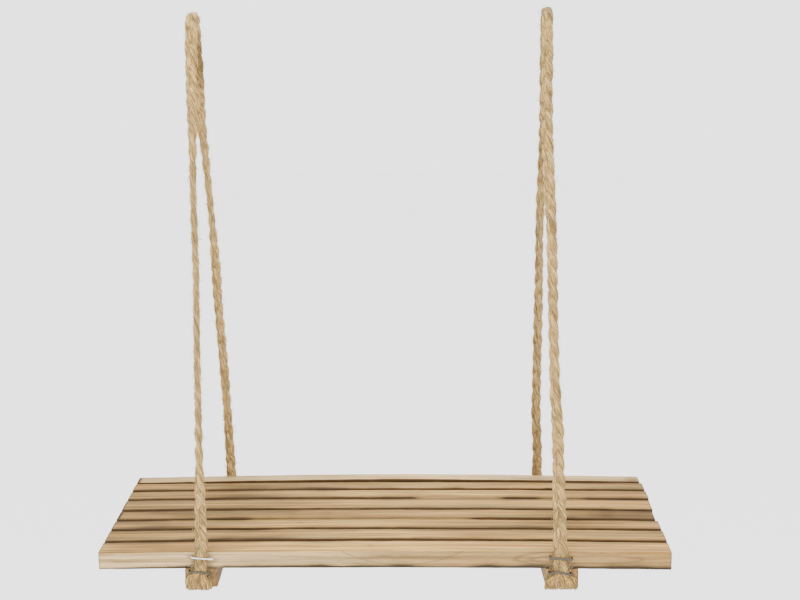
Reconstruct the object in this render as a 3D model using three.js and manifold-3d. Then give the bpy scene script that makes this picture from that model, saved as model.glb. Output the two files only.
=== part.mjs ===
// A hanging shelf: eight slats on two battens, hung in two flat plaited rope slings.
// Millimetres, +X along the shelf, +Y from front to back, +Z up.
// The origin is on the hook line, over the middle of the shelf.

import * as THREE from "three";
import { mergeVertices } from "three/addons/utils/BufferGeometryUtils.js";
import Module from "manifold-3d";

const wasm = await Module();
wasm.setup();

// Board
const hangHeight = 536; // hook line down to the top of the slats
const boardLength = 600;
const boardDepth = 236;
const slatThickness = 19;
const slatGap = 3;
const slatPitchShares = [0.13, 0.14, 0.124, 0.127, 0.146, 0.125, 0.114, 0.094]; // front to back
const slatTrim = 2.5; // how far short the shortest slats stop at their right end
const slatTrimShares = [0, 0, 0.2, 1, 0.4, 0, 0.2, 1];
const slatEase = 1.2; // bevel along the long edges
const seatGap = 0.3; // between pieces that rest on each other

// Battens
const battenWidth = 34;
const battenHeight = 19.5;
const battenEase = 1;
const leftBattenX = -191.5;
const rightBattenX = 183.5;
const rightBattenSkew = 2.5; // how far right of that its front end lies, and left its back end

// Plaited rope
const plaitWidth = 13;
const plaitThickness = 7;
const leftRopeX = -190.5;
const rightRopeX = 180;
const rightFrontShift = 5; // how far right of its top the right rope's front leg meets the shelf
const hookRadius = 10; // of the round hook or peg that a rope bends over
const neckDrop = 22; // from the hook line to where a rope bends sideways
const ropeEndGap = 0.3; // between two stretches of one rope
const swayAngle = 20; // degrees to each side
const swayMargin = 0.1; // between a leg's foot and its tail at that angle
const footTipWidth = 2.6; // a leg's foot narrows to this, so that it can lean on its tail
const footTipThickness = 3;
const legTwists = { left_front: 90, left_back: 65, right_front: 50, right_back: 60 }; // degrees
const twistInShares = [0.03, 0.27]; // of a leg, from its top
const twistOutShares = [0.68, 0.97];

// Stapled tails of the ropes, round the front and back of the shelf and under the battens
const tailThickness = 4.5;
const tailFan = 20; // width where the plait opens out on the batten's end
const tailUnder = 17; // width under the batten
const tailUnderShares = [0.12, 1]; // where the tail has that width, from the bend to its end
const tailBend = 0.5; // how far in from the batten's corner the bend is centred
const tailEndSpace = 6; // between the two cut ends of one rope

// Staples
const stapleCrown = 25.4;
const stapleLeg = 18;
const wireBreadth = 2;
const wireThickness = 1.4;
const stapleTilt = 4; // degrees, on the front and back
const upperStapleDrop = 7.5; // below the top of the slats
const lowerStapleDrop = 5.2; // below the top of the battens

// Screws, up through the battens into the slats
const screwLength = 30;
const screwRadius = 2;
const screwTip = 4;
const screwHeadRadius = 4;
const screwHeadHeight = 2.6;
const screwStagger = 6.5; // from the batten's middle line, to each side in turn
const fitGap = 0.3; // round a screw or a staple's leg in its hole
const overrun = 2; // how far a cutter passes the face that it opens

// Counts
const sectionPoints = 12;
const bightSteps = 10;
const neckSteps = 1;
const legSteps = 18;
const bendSteps = 4;
const screwSides = 12;

const slatWood = new THREE.MeshStandardMaterial({ color: 0xc9b08c, roughness: 0.75, metalness: 0 });
const battenWood = new THREE.MeshStandardMaterial({ color: 0xb58f63, roughness: 0.8, metalness: 0 });
const jute = new THREE.MeshStandardMaterial({ color: 0xc8b083, roughness: 0.95, metalness: 0 });
const zincWire = new THREE.MeshStandardMaterial({ color: 0x9a9a94, roughness: 0.35, metalness: 1 });
const screwSteel = new THREE.MeshStandardMaterial({ color: 0xb9a66a, roughness: 0.4, metalness: 1 });

const slatTop = -hangHeight;
const slatBottom = slatTop - slatThickness;
const battenTop = slatBottom - seatGap;
const battenBottom = battenTop - battenHeight;
const frontFace = -boardDepth / 2;

const slatEdges = slatPitchShares.reduce(
  (edges, share) => [...edges, edges[edges.length - 1] + share * boardDepth],
  [frontFace],
);

const shelf = new THREE.Group();

function named(name, geometry, material) {
  const mesh = new THREE.Mesh(geometry, material);
  mesh.name = name;
  shelf.add(mesh);
  return mesh;
}

// Booleans on closed geometries in the shelf's frame
function solidOf(geometry) {
  const plain = new THREE.BufferGeometry().setAttribute("position", geometry.getAttribute("position"));
  plain.setIndex(geometry.index);
  const merged = mergeVertices(plain);
  return new wasm.Manifold(
    new wasm.Mesh({
      numProp: 3,
      vertProperties: merged.attributes.position.array,
      triVerts: new Uint32Array(merged.index.array),
    }),
  );
}

function cut(geometry, cutters) {
  let solid = solidOf(geometry);
  for (const cutter of cutters) solid = solid.subtract(solidOf(cutter));
  const mesh = solid.getMesh();
  const result = new THREE.BufferGeometry();
  result.setAttribute("position", new THREE.BufferAttribute(mesh.vertProperties, mesh.numProp));
  result.setIndex(new THREE.BufferAttribute(mesh.triVerts, 1));
  return result;
}

// A bar with bevelled long edges: its section is given in Y and Z, and it runs along X
function easedBar(length, depth, height, ease) {
  const outline = new THREE.Shape();
  const y = depth / 2;
  const z = height / 2;
  outline.moveTo(-y + ease, -z);
  outline.lineTo(y - ease, -z);
  outline.lineTo(y, -z + ease);
  outline.lineTo(y, z - ease);
  outline.lineTo(y - ease, z);
  outline.lineTo(-y + ease, z);
  outline.lineTo(-y, z - ease);
  outline.lineTo(-y, -z + ease);
  outline.closePath();
  const bar = new THREE.ExtrudeGeometry(outline, { depth: length, bevelEnabled: false });
  bar.translate(0, 0, -length / 2);
  return bar.applyMatrix4(new THREE.Matrix4().makeBasis(
    new THREE.Vector3(0, 1, 0),
    new THREE.Vector3(0, 0, 1),
    new THREE.Vector3(1, 0, 0),
  ));
}

// How far a batten's middle line moves in X for each millimetre of Y
function battenSlope(rope) {
  return rope.battenSkew / frontFace;
}

// The front and back faces of one slat
function slatSpan(i) {
  const front = slatEdges[i] + (i > 0 ? slatGap / 2 : 0);
  const back = slatEdges[i + 1] - (i < slatPitchShares.length - 1 ? slatGap / 2 : 0);
  return { front, back, middle: (front + back) / 2 };
}

function turned(points) {
  const profile = points.map(([r, z]) => new THREE.Vector2(r, z));
  return new THREE.LatheGeometry(profile, screwSides).rotateX(Math.PI / 2);
}

// One wood screw, point up, its head at zero
function screwForm() {
  return turned([
    [0, 0],
    [screwHeadRadius, 0],
    [screwRadius, screwHeadHeight],
    [screwRadius, screwLength - screwTip],
    [0, screwLength],
  ]);
}

function screwHole(at) {
  return turned([
    [0, -overrun],
    [screwHeadRadius + fitGap, -overrun],
    [screwHeadRadius + fitGap, 0],
    [screwRadius + fitGap, screwHeadHeight],
    [screwRadius + fitGap, screwLength - screwTip],
    [0, screwLength + fitGap],
  ]).translate(...at);
}

function screwPlaces(rope) {
  return slatPitchShares.map((share, i) => [
    rope.battenX + battenSlope(rope) * slatSpan(i).middle + screwStagger * (i % 2 ? 1 : -1),
    slatSpan(i).middle,
    battenBottom + seatGap,
  ]);
}

// A staple's frame has its legs along -Z, into wood whose face is at zero
function stapleForm(standOff) {
  const outline = new THREE.Shape();
  const half = stapleCrown / 2;
  const top = standOff + wireThickness;
  const tip = top - stapleLeg;
  const bevel = wireThickness / 2;
  outline.moveTo(-half, tip);
  outline.lineTo(-half + wireThickness, tip);
  outline.lineTo(-half + wireThickness, standOff);
  outline.lineTo(half - wireThickness, standOff);
  outline.lineTo(half - wireThickness, tip);
  outline.lineTo(half, tip);
  outline.lineTo(half, top - bevel);
  outline.lineTo(half - bevel, top);
  outline.lineTo(-half + bevel, top);
  outline.lineTo(-half, top - bevel);
  outline.closePath();
  const wire = new THREE.ExtrudeGeometry(outline, { depth: wireBreadth, bevelEnabled: false });
  return wire.translate(0, 0, -wireBreadth / 2).rotateX(Math.PI / 2);
}

function legHoles(standOff) {
  const deep = stapleLeg - standOff - wireThickness + fitGap;
  return [-1, 1].map((side) =>
    new THREE.BoxGeometry(wireThickness + 2 * fitGap, wireBreadth + 2 * fitGap, deep + overrun)
      .translate((side * (stapleCrown - wireThickness)) / 2, 0, (overrun - deep) / 2),
  );
}

// Where the six staples of one rope sit, as a matrix from the staple's frame
function staplePlaces(rope) {
  const faces = [
    { face: "front", y: frontFace, out: Math.PI / 2, x: rope.feet.front, tilt: stapleTilt },
    { face: "back", y: -frontFace, out: -Math.PI / 2, x: rope.feet.back, tilt: -stapleTilt },
  ];
  const places = [];
  for (const { face, y, out, x, tilt } of faces) {
    const rows = [
      { row: "upper", z: slatTop - upperStapleDrop },
      { row: "lower", z: battenTop - lowerStapleDrop },
    ];
    for (const { row, z } of rows) {
      const turn = new THREE.Matrix4().makeRotationY(THREE.MathUtils.degToRad(tilt));
      const frame = new THREE.Matrix4().makeTranslation(x, y, z).multiply(turn);
      frame.multiply(new THREE.Matrix4().makeRotationX(out));
      places.push({ name: `${rope.side}_${face}_${row}_staple`, frame, row });
    }
    const under = face === "front" ? slatEdges[3] : slatEdges[5];
    const frame = new THREE.Matrix4().makeTranslation(x, under, battenBottom);
    frame.multiply(new THREE.Matrix4().makeRotationX(Math.PI));
    places.push({ name: `${rope.side}_${face}_under_staple`, frame, row: "under" });
  }
  return places;
}

const stapleStandOff = tailThickness + 2 * seatGap;

// A rope stretch through rings, each with its centre, direction, width, thickness and twist
function ropeSolid(rings) {
  const section = new THREE.Shape(
    Array.from({ length: sectionPoints }, (_, k) => {
      const a = ((k + 0.5) / sectionPoints) * 2 * Math.PI;
      const square = (v) => Math.sign(v) * Math.sqrt(Math.abs(v));
      return new THREE.Vector2(square(Math.cos(a)) / 2, square(Math.sin(a)) / 2);
    }),
  );
  const steps = rings.length - 1;
  const solid = new THREE.ExtrudeGeometry(section, { depth: 1, steps, bevelEnabled: false });
  const position = solid.getAttribute("position");
  const point = new THREE.Vector3();
  for (let i = 0; i < position.count; i += 1) {
    const ring = rings[Math.round(position.getZ(i) * steps)];
    const along = ring.along.clone().normalize();
    const side = new THREE.Vector3(1, 0, 0).addScaledVector(along, -along.x).normalize();
    side.applyAxisAngle(along, THREE.MathUtils.degToRad(ring.twist ?? 0));
    const out = new THREE.Vector3().crossVectors(along, side);
    point.copy(ring.centre)
      .addScaledVector(side, position.getX(i) * ring.width)
      .addScaledVector(out, position.getY(i) * ring.thickness);
    position.setXYZ(i, point.x, point.y, point.z);
  }
  return solid;
}

// The sling's centreline over the hook: where a leg leaves the bend, for the front leg
const bendRadius = hookRadius + seatGap + plaitThickness / 2;
const footY = frontFace - seatGap - tailThickness / 2;
const leaveAngle = Math.atan2(-footY, hangHeight) + Math.acos(bendRadius / Math.hypot(footY, hangHeight));

function bendPoint(angle) {
  return { y: -Math.sin(angle) * bendRadius, z: -Math.cos(angle) * bendRadius };
}

function bight(rope) {
  const gapAngle = ropeEndGap / 2 / bendRadius;
  const first = leaveAngle + gapAngle;
  const last = 2 * Math.PI - first;
  const rings = Array.from({ length: bightSteps + 1 }, (_, i) => {
    const angle = first + ((last - first) * i) / bightSteps;
    const at = bendPoint(angle);
    return {
      centre: new THREE.Vector3(rope.x, at.y, at.z),
      along: new THREE.Vector3(0, -Math.cos(angle), Math.sin(angle)),
      width: plaitWidth,
      thickness: plaitThickness,
    };
  });
  named(`${rope.side}_rope_bight`, ropeSolid(rings), jute);
}

// A leg's line runs from the bend to the edge of the board; way is -1 in front and 1 behind
function legLine(rope, way) {
  const leave = bendPoint(leaveAngle);
  const footX = way < 0 ? rope.feet.front : rope.feet.back;
  const top = new THREE.Vector3(rope.x, -way * leave.y, leave.z);
  const foot = new THREE.Vector3(footX, -way * footY, slatTop);
  const along = foot.clone().sub(top).normalize();
  const at = (height) => top.clone().addScaledVector(along, (height - top.z) / along.z);
  return { top, foot, along, at };
}

// How high above the tail a section of the leg has to end, to clear it when the shelf sways
function footClearance(width, thickness, shift) {
  const sway = THREE.MathUtils.degToRad(swayAngle);
  const side = width / 2 + Math.abs(shift);
  return (side * Math.sin(sway) + swayMargin) / Math.cos(sway) - (thickness / 2) * Math.cos(leaveAngle);
}

function smooth(share, [from, to]) {
  return THREE.MathUtils.smoothstep(share, from, to);
}

function neckAndLeg(rope, way) {
  const face = way < 0 ? "front" : "back";
  const { top, foot, along, at } = legLine(rope, way);
  const full = { along, width: plaitWidth, thickness: plaitThickness };
  const stretch = (start, end, steps, twist) =>
    Array.from({ length: steps + 1 }, (_, i) => ({
      ...full,
      centre: start.clone().lerp(end, i / steps),
      twist: twist * smooth(i / steps, twistInShares) * (1 - smooth(i / steps, twistOutShares)),
    }));
  const neckTop = top.clone().addScaledVector(along, ropeEndGap / 2);
  const neck = stretch(neckTop, at(ropeEndGap / 2 - neckDrop), neckSteps, 0);
  const shift = foot.x - top.x;
  const footEnd = foot.z + footClearance(plaitWidth, plaitThickness, shift);
  const tip = {
    centre: at(foot.z + footClearance(footTipWidth, footTipThickness, shift)),
    along,
    width: footTipWidth,
    thickness: footTipThickness,
  };
  const twist = legTwists[`${rope.side}_${face}`];
  const leg = stretch(at(-ropeEndGap / 2 - neckDrop), at(footEnd), legSteps, twist);
  named(`${rope.side}_rope_${face}_neck`, ropeSolid(neck), jute);
  named(`${rope.side}_rope_${face}_leg`, ropeSolid([...leg, tip]), jute);
}

// A tail goes down the face of the slat and the batten's end, and in under the batten
function tail(rope, way) {
  const face = way < 0 ? "front" : "back";
  const x = rope.feet[face];
  const faceY = -way * footY;
  const bendZ = battenBottom + tailBend;
  const bendY = -way * (frontFace + tailBend);
  const bend = Math.abs(faceY - bendY);
  const stops = [
    { z: slatTop, width: plaitWidth },
    { z: slatTop - upperStapleDrop, width: plaitWidth },
    { z: slatBottom, width: (plaitWidth + tailFan) / 2 },
    { z: battenTop - lowerStapleDrop, width: tailFan },
    { z: bendZ, width: tailFan },
  ];
  const rings = stops.map(({ z, width }) => ({
    centre: new THREE.Vector3(x, faceY, z),
    along: new THREE.Vector3(0, 0, -1),
    width,
  }));
  for (let i = 1; i <= bendSteps; i += 1) {
    const angle = ((Math.PI / 2) * i) / bendSteps;
    rings.push({
      centre: new THREE.Vector3(x, bendY + way * bend * Math.cos(angle), bendZ - bend * Math.sin(angle)),
      along: new THREE.Vector3(0, -way * Math.sin(angle), -Math.cos(angle)),
      width: tailFan,
    });
  }
  const endY = slatEdges[4] + (way * tailEndSpace) / 2;
  for (const share of tailUnderShares) {
    rings.push({
      centre: new THREE.Vector3(x, bendY + (endY - bendY) * share, bendZ - bend),
      along: new THREE.Vector3(0, -way, 0),
      width: tailUnder,
    });
  }
  for (const ring of rings) ring.thickness = tailThickness;
  named(`${rope.side}_rope_${face}_tail`, ropeSolid(rings), jute);
}

function hangRope(rope) {
  bight(rope);
  for (const way of [-1, 1]) {
    neckAndLeg(rope, way);
    tail(rope, way);
  }
}

const ropes = [
  {
    side: "left",
    x: leftRopeX,
    feet: { front: leftRopeX, back: leftRopeX },
    battenX: leftBattenX,
    battenSkew: 0,
  },
  {
    side: "right",
    x: rightRopeX,
    feet: { front: rightRopeX + rightFrontShift, back: rightRopeX },
    battenX: rightBattenX,
    battenSkew: rightBattenSkew,
  },
];
const places = ropes.flatMap(staplePlaces);
const screws = ropes.flatMap((rope) =>
  screwPlaces(rope).map((at, i) => ({ name: `${rope.side}_screw_${i + 1}`, at, slat: i, side: rope.side })),
);

const stapleHoles = ({ frame }) =>
  legHoles(stapleStandOff).map((hole) => hole.applyMatrix4(frame));

function addSlats() {
  slatPitchShares.forEach((share, i) => {
    const { front, back, middle } = slatSpan(i);
    const trim = slatTrim * slatTrimShares[i];
    const bar = easedBar(boardLength - trim, back - front, slatThickness, slatEase);
    bar.translate(-trim / 2, middle, slatTop - slatThickness / 2);
    const upper = places.filter(({ name, row }) => {
      const end = i === 0 ? "front" : i === slatPitchShares.length - 1 ? "back" : "none";
      return row === "upper" && name.includes(end);
    });
    const holes = screws.filter(({ slat }) => slat === i).map(({ at }) => screwHole(at));
    named(`slat_${i + 1}`, cut(bar, [...holes, ...upper.flatMap(stapleHoles)]), slatWood);
  });
}

function addBattens() {
  for (const rope of ropes) {
    const { side } = rope;
    const bar = easedBar(boardDepth, battenWidth, battenHeight, battenEase).rotateZ(Math.PI / 2);
    bar.applyMatrix4(new THREE.Matrix4().makeShear(0, 0, battenSlope(rope), 0, 0, 0));
    bar.translate(rope.battenX, 0, battenTop - battenHeight / 2);
    const mine = places.filter(({ name, row }) => name.startsWith(side) && row !== "upper");
    const holes = screws.filter((screw) => screw.side === side).map(({ at }) => screwHole(at));
    named(`${side}_batten`, cut(bar, [...holes, ...mine.flatMap(stapleHoles)]), battenWood);
  }
}

function addScrews() {
  for (const { name, at } of screws) {
    named(name, screwForm(), screwSteel).position.set(...at);
  }
}

function addStaples() {
  for (const { name, frame } of places) {
    const staple = named(name, stapleForm(stapleStandOff), zincWire);
    staple.applyMatrix4(frame);
  }
}

addSlats();
addBattens();
addScrews();
addStaples();
ropes.forEach(hangRope);

export default shelf;
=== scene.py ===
import math
import bpy
import numpy as np
from mathutils import Matrix, Vector


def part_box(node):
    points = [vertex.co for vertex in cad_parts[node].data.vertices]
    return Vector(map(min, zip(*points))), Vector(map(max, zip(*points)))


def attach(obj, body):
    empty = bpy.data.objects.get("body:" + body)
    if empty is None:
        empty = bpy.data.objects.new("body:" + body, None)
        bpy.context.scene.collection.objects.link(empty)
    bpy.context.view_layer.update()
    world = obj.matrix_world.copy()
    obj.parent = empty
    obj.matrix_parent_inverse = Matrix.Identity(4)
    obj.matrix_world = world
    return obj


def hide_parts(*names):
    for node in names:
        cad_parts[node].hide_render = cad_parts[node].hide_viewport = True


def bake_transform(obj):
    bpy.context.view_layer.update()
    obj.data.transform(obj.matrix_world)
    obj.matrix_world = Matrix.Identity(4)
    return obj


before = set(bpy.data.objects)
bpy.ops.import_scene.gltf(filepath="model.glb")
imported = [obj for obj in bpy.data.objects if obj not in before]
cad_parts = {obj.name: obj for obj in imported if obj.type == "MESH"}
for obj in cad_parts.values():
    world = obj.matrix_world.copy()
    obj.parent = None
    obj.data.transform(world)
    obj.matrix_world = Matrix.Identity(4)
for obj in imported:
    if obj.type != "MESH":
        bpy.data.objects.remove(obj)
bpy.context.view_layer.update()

# A hanging shelf of sawn slats in two slings of plaited jute.
# Measures are millimetres until they reach Blender, which is in metres.
# The origin is on the hook line: +X along the shelf, +Y to the back, +Z up.

mm = 0.001


# camera

cameraPlan = {
    "imageWidth": 800,  # pixels
    "focalPixels": 1460.3,
    "principalX": 346.1,  # the photograph is cropped off its own middle
    "yaw": -3.175,  # degrees
    "pitch": 12.63,  # down
    "roll": -1.21,
    "place": (47.4, -1549.3, 56.0),  # mm
    "sensorWidth": 36,
}


def makeCamera(plan):
    yaw, pitch, roll = (math.radians(plan[k]) for k in ("yaw", "pitch", "roll"))
    ahead = Vector((math.sin(yaw) * math.cos(pitch), math.cos(yaw) * math.cos(pitch), -math.sin(pitch)))
    flatRight = Vector((math.cos(yaw), -math.sin(yaw), 0))
    flatUp = flatRight.cross(ahead)
    right = math.cos(roll) * flatRight + math.sin(roll) * flatUp
    up = -math.sin(roll) * flatRight + math.cos(roll) * flatUp
    data = bpy.data.cameras.new("photoCamera")
    data.sensor_width = plan["sensorWidth"]
    data.lens = plan["focalPixels"] * plan["sensorWidth"] / plan["imageWidth"]
    data.shift_x = 0.5 - plan["principalX"] / plan["imageWidth"]
    camera = bpy.data.objects.new("photoCamera", data)
    turn = Matrix((right, up, -ahead)).transposed().to_4x4()
    camera.matrix_world = Matrix.Translation(Vector(plan["place"]) * mm) @ turn
    bpy.context.collection.objects.link(camera)
    bpy.context.scene.camera = camera


makeCamera(cameraPlan)
print("camera set")


# small helpers for meshes, noise and nodes

def newBag():
    return {"points": [], "quads": [], "caps": [], "values": {}, "count": 0}


def addRings(bag, rings, capped=True, **values):  # rings: (bars x) stations x points around x 3
    rings = rings.reshape((-1,) + rings.shape[-3:])
    index = bag["count"] + np.arange(rings[..., 0].size).reshape(rings.shape[:3])
    beside = np.roll(index, -1, axis=2)
    quads = np.stack([index[:, :-1], beside[:, :-1], beside[:, 1:], index[:, 1:]], axis=-1)
    bag["points"].append(rings.reshape(-1, 3))
    bag["quads"].append(quads.reshape(-1, 4))
    if capped:
        bag["caps"] += index[:, 0, ::-1].tolist() + index[:, -1].tolist()
    for name, value in values.items():
        isVector = np.shape(value)[-1:] == (3,)
        spread = np.broadcast_to(value, rings.shape if isVector else index.shape)
        bag["values"].setdefault(name, []).append(spread.reshape((-1, 3) if isVector else -1))
    bag["count"] += index.size


def markRims(mesh, caps):  # the edges round the end caps stay sharp
    rim = {tuple(sorted(edge)) for cap in caps for edge in zip(cap, cap[1:] + cap[:1])}
    ends = np.empty(len(mesh.edges) * 2, int)
    mesh.edges.foreach_get("vertices", ends)
    ends = np.sort(ends.reshape(-1, 2), axis=1)
    radix = len(mesh.vertices) + 1
    keys = ends[:, 0] * radix + ends[:, 1]
    wanted = np.array([a * radix + b for a, b in rim])
    mark = mesh.attributes.new("sharp_edge", "BOOLEAN", "EDGE")
    mark.data.foreach_set("value", np.isin(keys, wanted))


def bagToObject(bag, name, material):
    points = np.concatenate(bag["points"]) * mm
    faces = np.concatenate(bag["quads"]).tolist() + bag["caps"]
    mesh = bpy.data.meshes.new(name)
    mesh.from_pydata(points.tolist(), [], faces)
    mesh.polygons.foreach_set("use_smooth", [True] * len(mesh.polygons))
    markRims(mesh, bag["caps"])
    for key, parts in bag["values"].items():
        value = np.concatenate(parts).astype(np.float32)
        if value.ndim == 2:
            layer = mesh.attributes.new(key, "FLOAT_VECTOR", "POINT")
            layer.data.foreach_set("vector", value.ravel())
        else:
            layer = mesh.attributes.new(key, "FLOAT", "POINT")
            layer.data.foreach_set("value", value)
    mesh.materials.append(material)
    piece = bpy.data.objects.new(name, mesh)
    bpy.context.collection.objects.link(piece)
    return piece


wanderCells = 4096  # before the noise along a line repeats


def wander(at, scale, seed):  # smooth noise along a line, about -1 to 1
    at = np.asarray(at, float) / scale
    table = np.random.default_rng(seed).uniform(-1, 1, wanderCells)
    cell = np.floor(at).astype(int)
    share = at - cell
    share = share * share * (3 - 2 * share)
    return table[cell % wanderCells] * (1 - share) + table[(cell + 1) % wanderCells] * share


def smoothStep(value, low, high):
    share = np.clip((np.asarray(value, float) - low) / (high - low), 0, 1)
    return share * share * (3 - 2 * share)


def unit(vectors):
    return vectors / np.linalg.norm(vectors, axis=-1, keepdims=True)


def hump(value, middle, reach):  # 1 at the middle, fading to both sides
    return np.exp(-(((value - middle) / reach) ** 2))


def profile(at, table):  # on straight lines between pairs of place and value
    places, values = zip(*table)
    return np.interp(at, places, values)


def between(at, start, end, outside, inside):  # 1 from start to end, eased in and out
    risen = smoothStep(at, start - outside, start + inside)
    return risen * (1 - smoothStep(at, end - inside, end + outside))


def averaged(values, reach):  # each value with those beside it
    count = 2 * reach + 1
    return np.convolve(np.pad(values, reach, mode="edge"), np.ones(count) / count, mode="valid")


def boxOf(node):  # low and high corner of a CAD solid, in millimetres
    return [np.array(corner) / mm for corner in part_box(node)]


def newMaterial(name, roughness, metallic=0.0):
    material = bpy.data.materials.new(name)
    material.use_nodes = True
    tree = material.node_tree
    shader = tree.nodes["Principled BSDF"]
    shader.inputs["Roughness"].default_value = roughness
    shader.inputs["Metallic"].default_value = metallic
    return material, tree, shader


def addNode(tree, kind, settings=None, **inputs):  # an input is a value or another node's socket
    node = tree.nodes.new("ShaderNode" + kind)
    for key, value in (settings or {}).items():
        setattr(node, key, value)
    for key, value in inputs.items():
        socket = node.inputs[int(key[1:])] if key[0] == "i" and key[1:].isdigit() else node.inputs[key]
        if isinstance(value, bpy.types.NodeSocket):
            tree.links.new(value, socket)
        else:
            socket.default_value = value
    return node


def attribute(tree, name, socket="Fac"):
    return addNode(tree, "Attribute", {"attribute_name": name}).outputs[socket]


def calc(tree, operation, a, b=0.0, clamp=False):
    settings = {"operation": operation, "use_clamp": clamp}
    return addNode(tree, "Math", settings, i0=a, i1=b).outputs[0]


def times(tree, a, b):
    return calc(tree, "MULTIPLY", a, b)


def plus(tree, a, b):
    return calc(tree, "ADD", a, b)


def minus(tree, a, b):
    return calc(tree, "SUBTRACT", a, b)


def distance(tree, a, b):
    return calc(tree, "SQRT", plus(tree, times(tree, a, a), times(tree, b, b)))


def ramp(tree, factor, stops):
    node = addNode(tree, "ValToRGB", None, Fac=factor)
    while len(node.color_ramp.elements) < len(stops):
        node.color_ramp.elements.new(0.5)
    for element, (place, colour) in zip(node.color_ramp.elements, stops):
        element.position = place
        element.color = (*colour, 1) if len(colour) == 3 else colour
    return node.outputs["Color"]


def blendColour(tree, factor, a, b, mode="MIX"):
    node = addNode(tree, "Mix", {"data_type": "RGBA", "blend_type": mode})
    for socket, value in ((node.inputs[0], factor), (node.inputs[6], a), (node.inputs[7], b)):
        if isinstance(value, bpy.types.NodeSocket):
            tree.links.new(value, socket)
        else:
            socket.default_value = (*value, 1) if isinstance(value, tuple) and len(value) == 3 else value
    return node.outputs[2]


def tinted(tree, share, colour, factor, stops):  # multiplied by a ramp
    return blendColour(tree, share, colour, ramp(tree, factor, stops), "MULTIPLY")


def darkened(tree, share, colour, left):  # multiplied by what is left of the colour
    return blendColour(tree, share, colour, blendColour(tree, 1.0, colour, left, "MULTIPLY"))


def srgb(red, green, blue):  # 0 to 255, to the linear values that Blender uses
    share = [c / 255 for c in (red, green, blue)]
    return tuple(c / 12.92 if c <= 0.04045 else ((c + 0.055) / 1.055) ** 2.4 for c in share)


def stretched(tree, source, scale, offset=(0, 0, 0)):
    return addNode(tree, "Mapping", None, Vector=source, Scale=scale, Location=offset).outputs[0]


def noise(tree, vector, scale, detail=3.0, roughness=0.55):
    node = addNode(tree, "TexNoise", None, Vector=vector, Scale=scale, Detail=detail, Roughness=roughness)
    return node.outputs["Fac"]


def addBump(tree, shader, height, strength, depth):
    bump = addNode(tree, "Bump", None, Strength=strength, Distance=depth, Height=height)
    tree.links.new(bump.outputs[0], shader.inputs["Normal"])


# jute

juteLook = {
    "shade": (0.15, 0.1, 0.04),
    "body": (0.6, 0.4, 0.14),
    "light": (0.86, 0.62, 0.265),
    "olive": (0.39, 0.32, 0.12),
    "rose": (0.6, 0.38, 0.17),
    "golden": (0.36, 0.22, 0.055),
    "dust": (0.36, 0.29, 0.19),
    "valley": (0.35, 0.32, 0.265),  # what is left of the colour in the painted shade between two strands
    # what is left of it from dark fibres, bundles and flecks to light ones
    "fibres": [(0.36, (0.45, 0.4, 0.33)), (0.5, (0.95, 0.93, 0.9)), (0.66, (1.25, 1.23, 1.18))],
    "bundles": [(0.39, (0.42, 0.38, 0.3)), (0.49, (1.0, 0.99, 0.96)), (0.59, (1.45, 1.43, 1.38))],
    "flecks": [(0.38, (0.5, 0.45, 0.37)), (0.5, (1.0, 1.0, 1.0)), (0.62, (1.25, 1.24, 1.22))],
    "roughness": 0.85,
    "relief": 0.0009,  # metres
    "sheen": 0.15,
    "sheenRoughness": 0.5,
    "specular": 0.2,
}

looseLook = dict(juteLook, body=(0.68, 0.43, 0.13), light=(0.95, 0.66, 0.25))

juteGrain = {  # stretch across and along the yarns, scale, detail, roughness
    "fibre": ((1.0, 1.0, 0.045), 3.2, 5.0, 0.6),
    "hairs": ((1.0, 1.0, 0.02), 9.0, 3.0, 0.6),
    "bundles": ((0.75, 0.75, 0.03), 1.0, 2.0, 0.55),
    "flecks": ((0.85, 0.85, 0.15), 1.0, 3.0, 0.65),
}


def makeJute(name, look, warmth, dusty=0.0):
    material, tree, shader = newMaterial(name, look["roughness"])
    yarn = attribute(tree, "yarn", "Vector")
    place = addNode(tree, "TexCoord").outputs["Object"]
    grain = {}
    for key, (stretch, scale, detail, roughness) in juteGrain.items():
        grain[key] = noise(tree, stretched(tree, yarn, stretch), scale, detail, roughness)
    patch = noise(tree, place, 42.0, 2.0)
    fibres = [(0.33, look["shade"]), (0.47, look["body"]), (0.66, look["light"])]
    patches = [(0.36, look["olive"]), (0.5, look["body"]), (0.64, look["rose"])]
    colour = blendColour(tree, 0.4, ramp(tree, grain["fibre"], fibres), ramp(tree, patch, patches))
    colour = blendColour(tree, warmth, colour, look["golden"])
    colour = blendColour(tree, dusty, colour, look["dust"])
    colour = tinted(tree, 0.8, colour, grain["hairs"], look["fibres"])
    colour = tinted(tree, 0.85, colour, grain["bundles"], look["bundles"])
    colour = tinted(tree, 0.8, colour, grain["flecks"], look["flecks"])
    # painted shade, darker between the strands and yarns
    depth = calc(tree, "MULTIPLY", attribute(tree, "valley"), 1.0, True)  # never more than 1
    colour = blendColour(tree, depth, colour, look["valley"], "MULTIPLY")
    tree.links.new(colour, shader.inputs["Base Color"])
    relief = plus(tree, times(tree, grain["fibre"], 0.6), times(tree, grain["hairs"], 0.8))
    addBump(tree, shader, relief, 0.85, look["relief"])
    shader.inputs["Sheen Weight"].default_value = look["sheen"]
    shader.inputs["Sheen Roughness"].default_value = look["sheenRoughness"]
    shader.inputs["Specular IOR Level"].default_value = look["specular"]
    return material


juteInFront = makeJute("juteInFront", juteLook, 0.12)
# the back legs get a warmer, slightly darker copy, as painted shade behind the front legs
juteBehind = makeJute("juteBehind", juteLook, 0.2)
juteLoose = makeJute("juteLoose", looseLook, 0.15)
juteDusty = makeJute("juteDusty", juteLook, 0.1, 0.55)


# the two ropes

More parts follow.
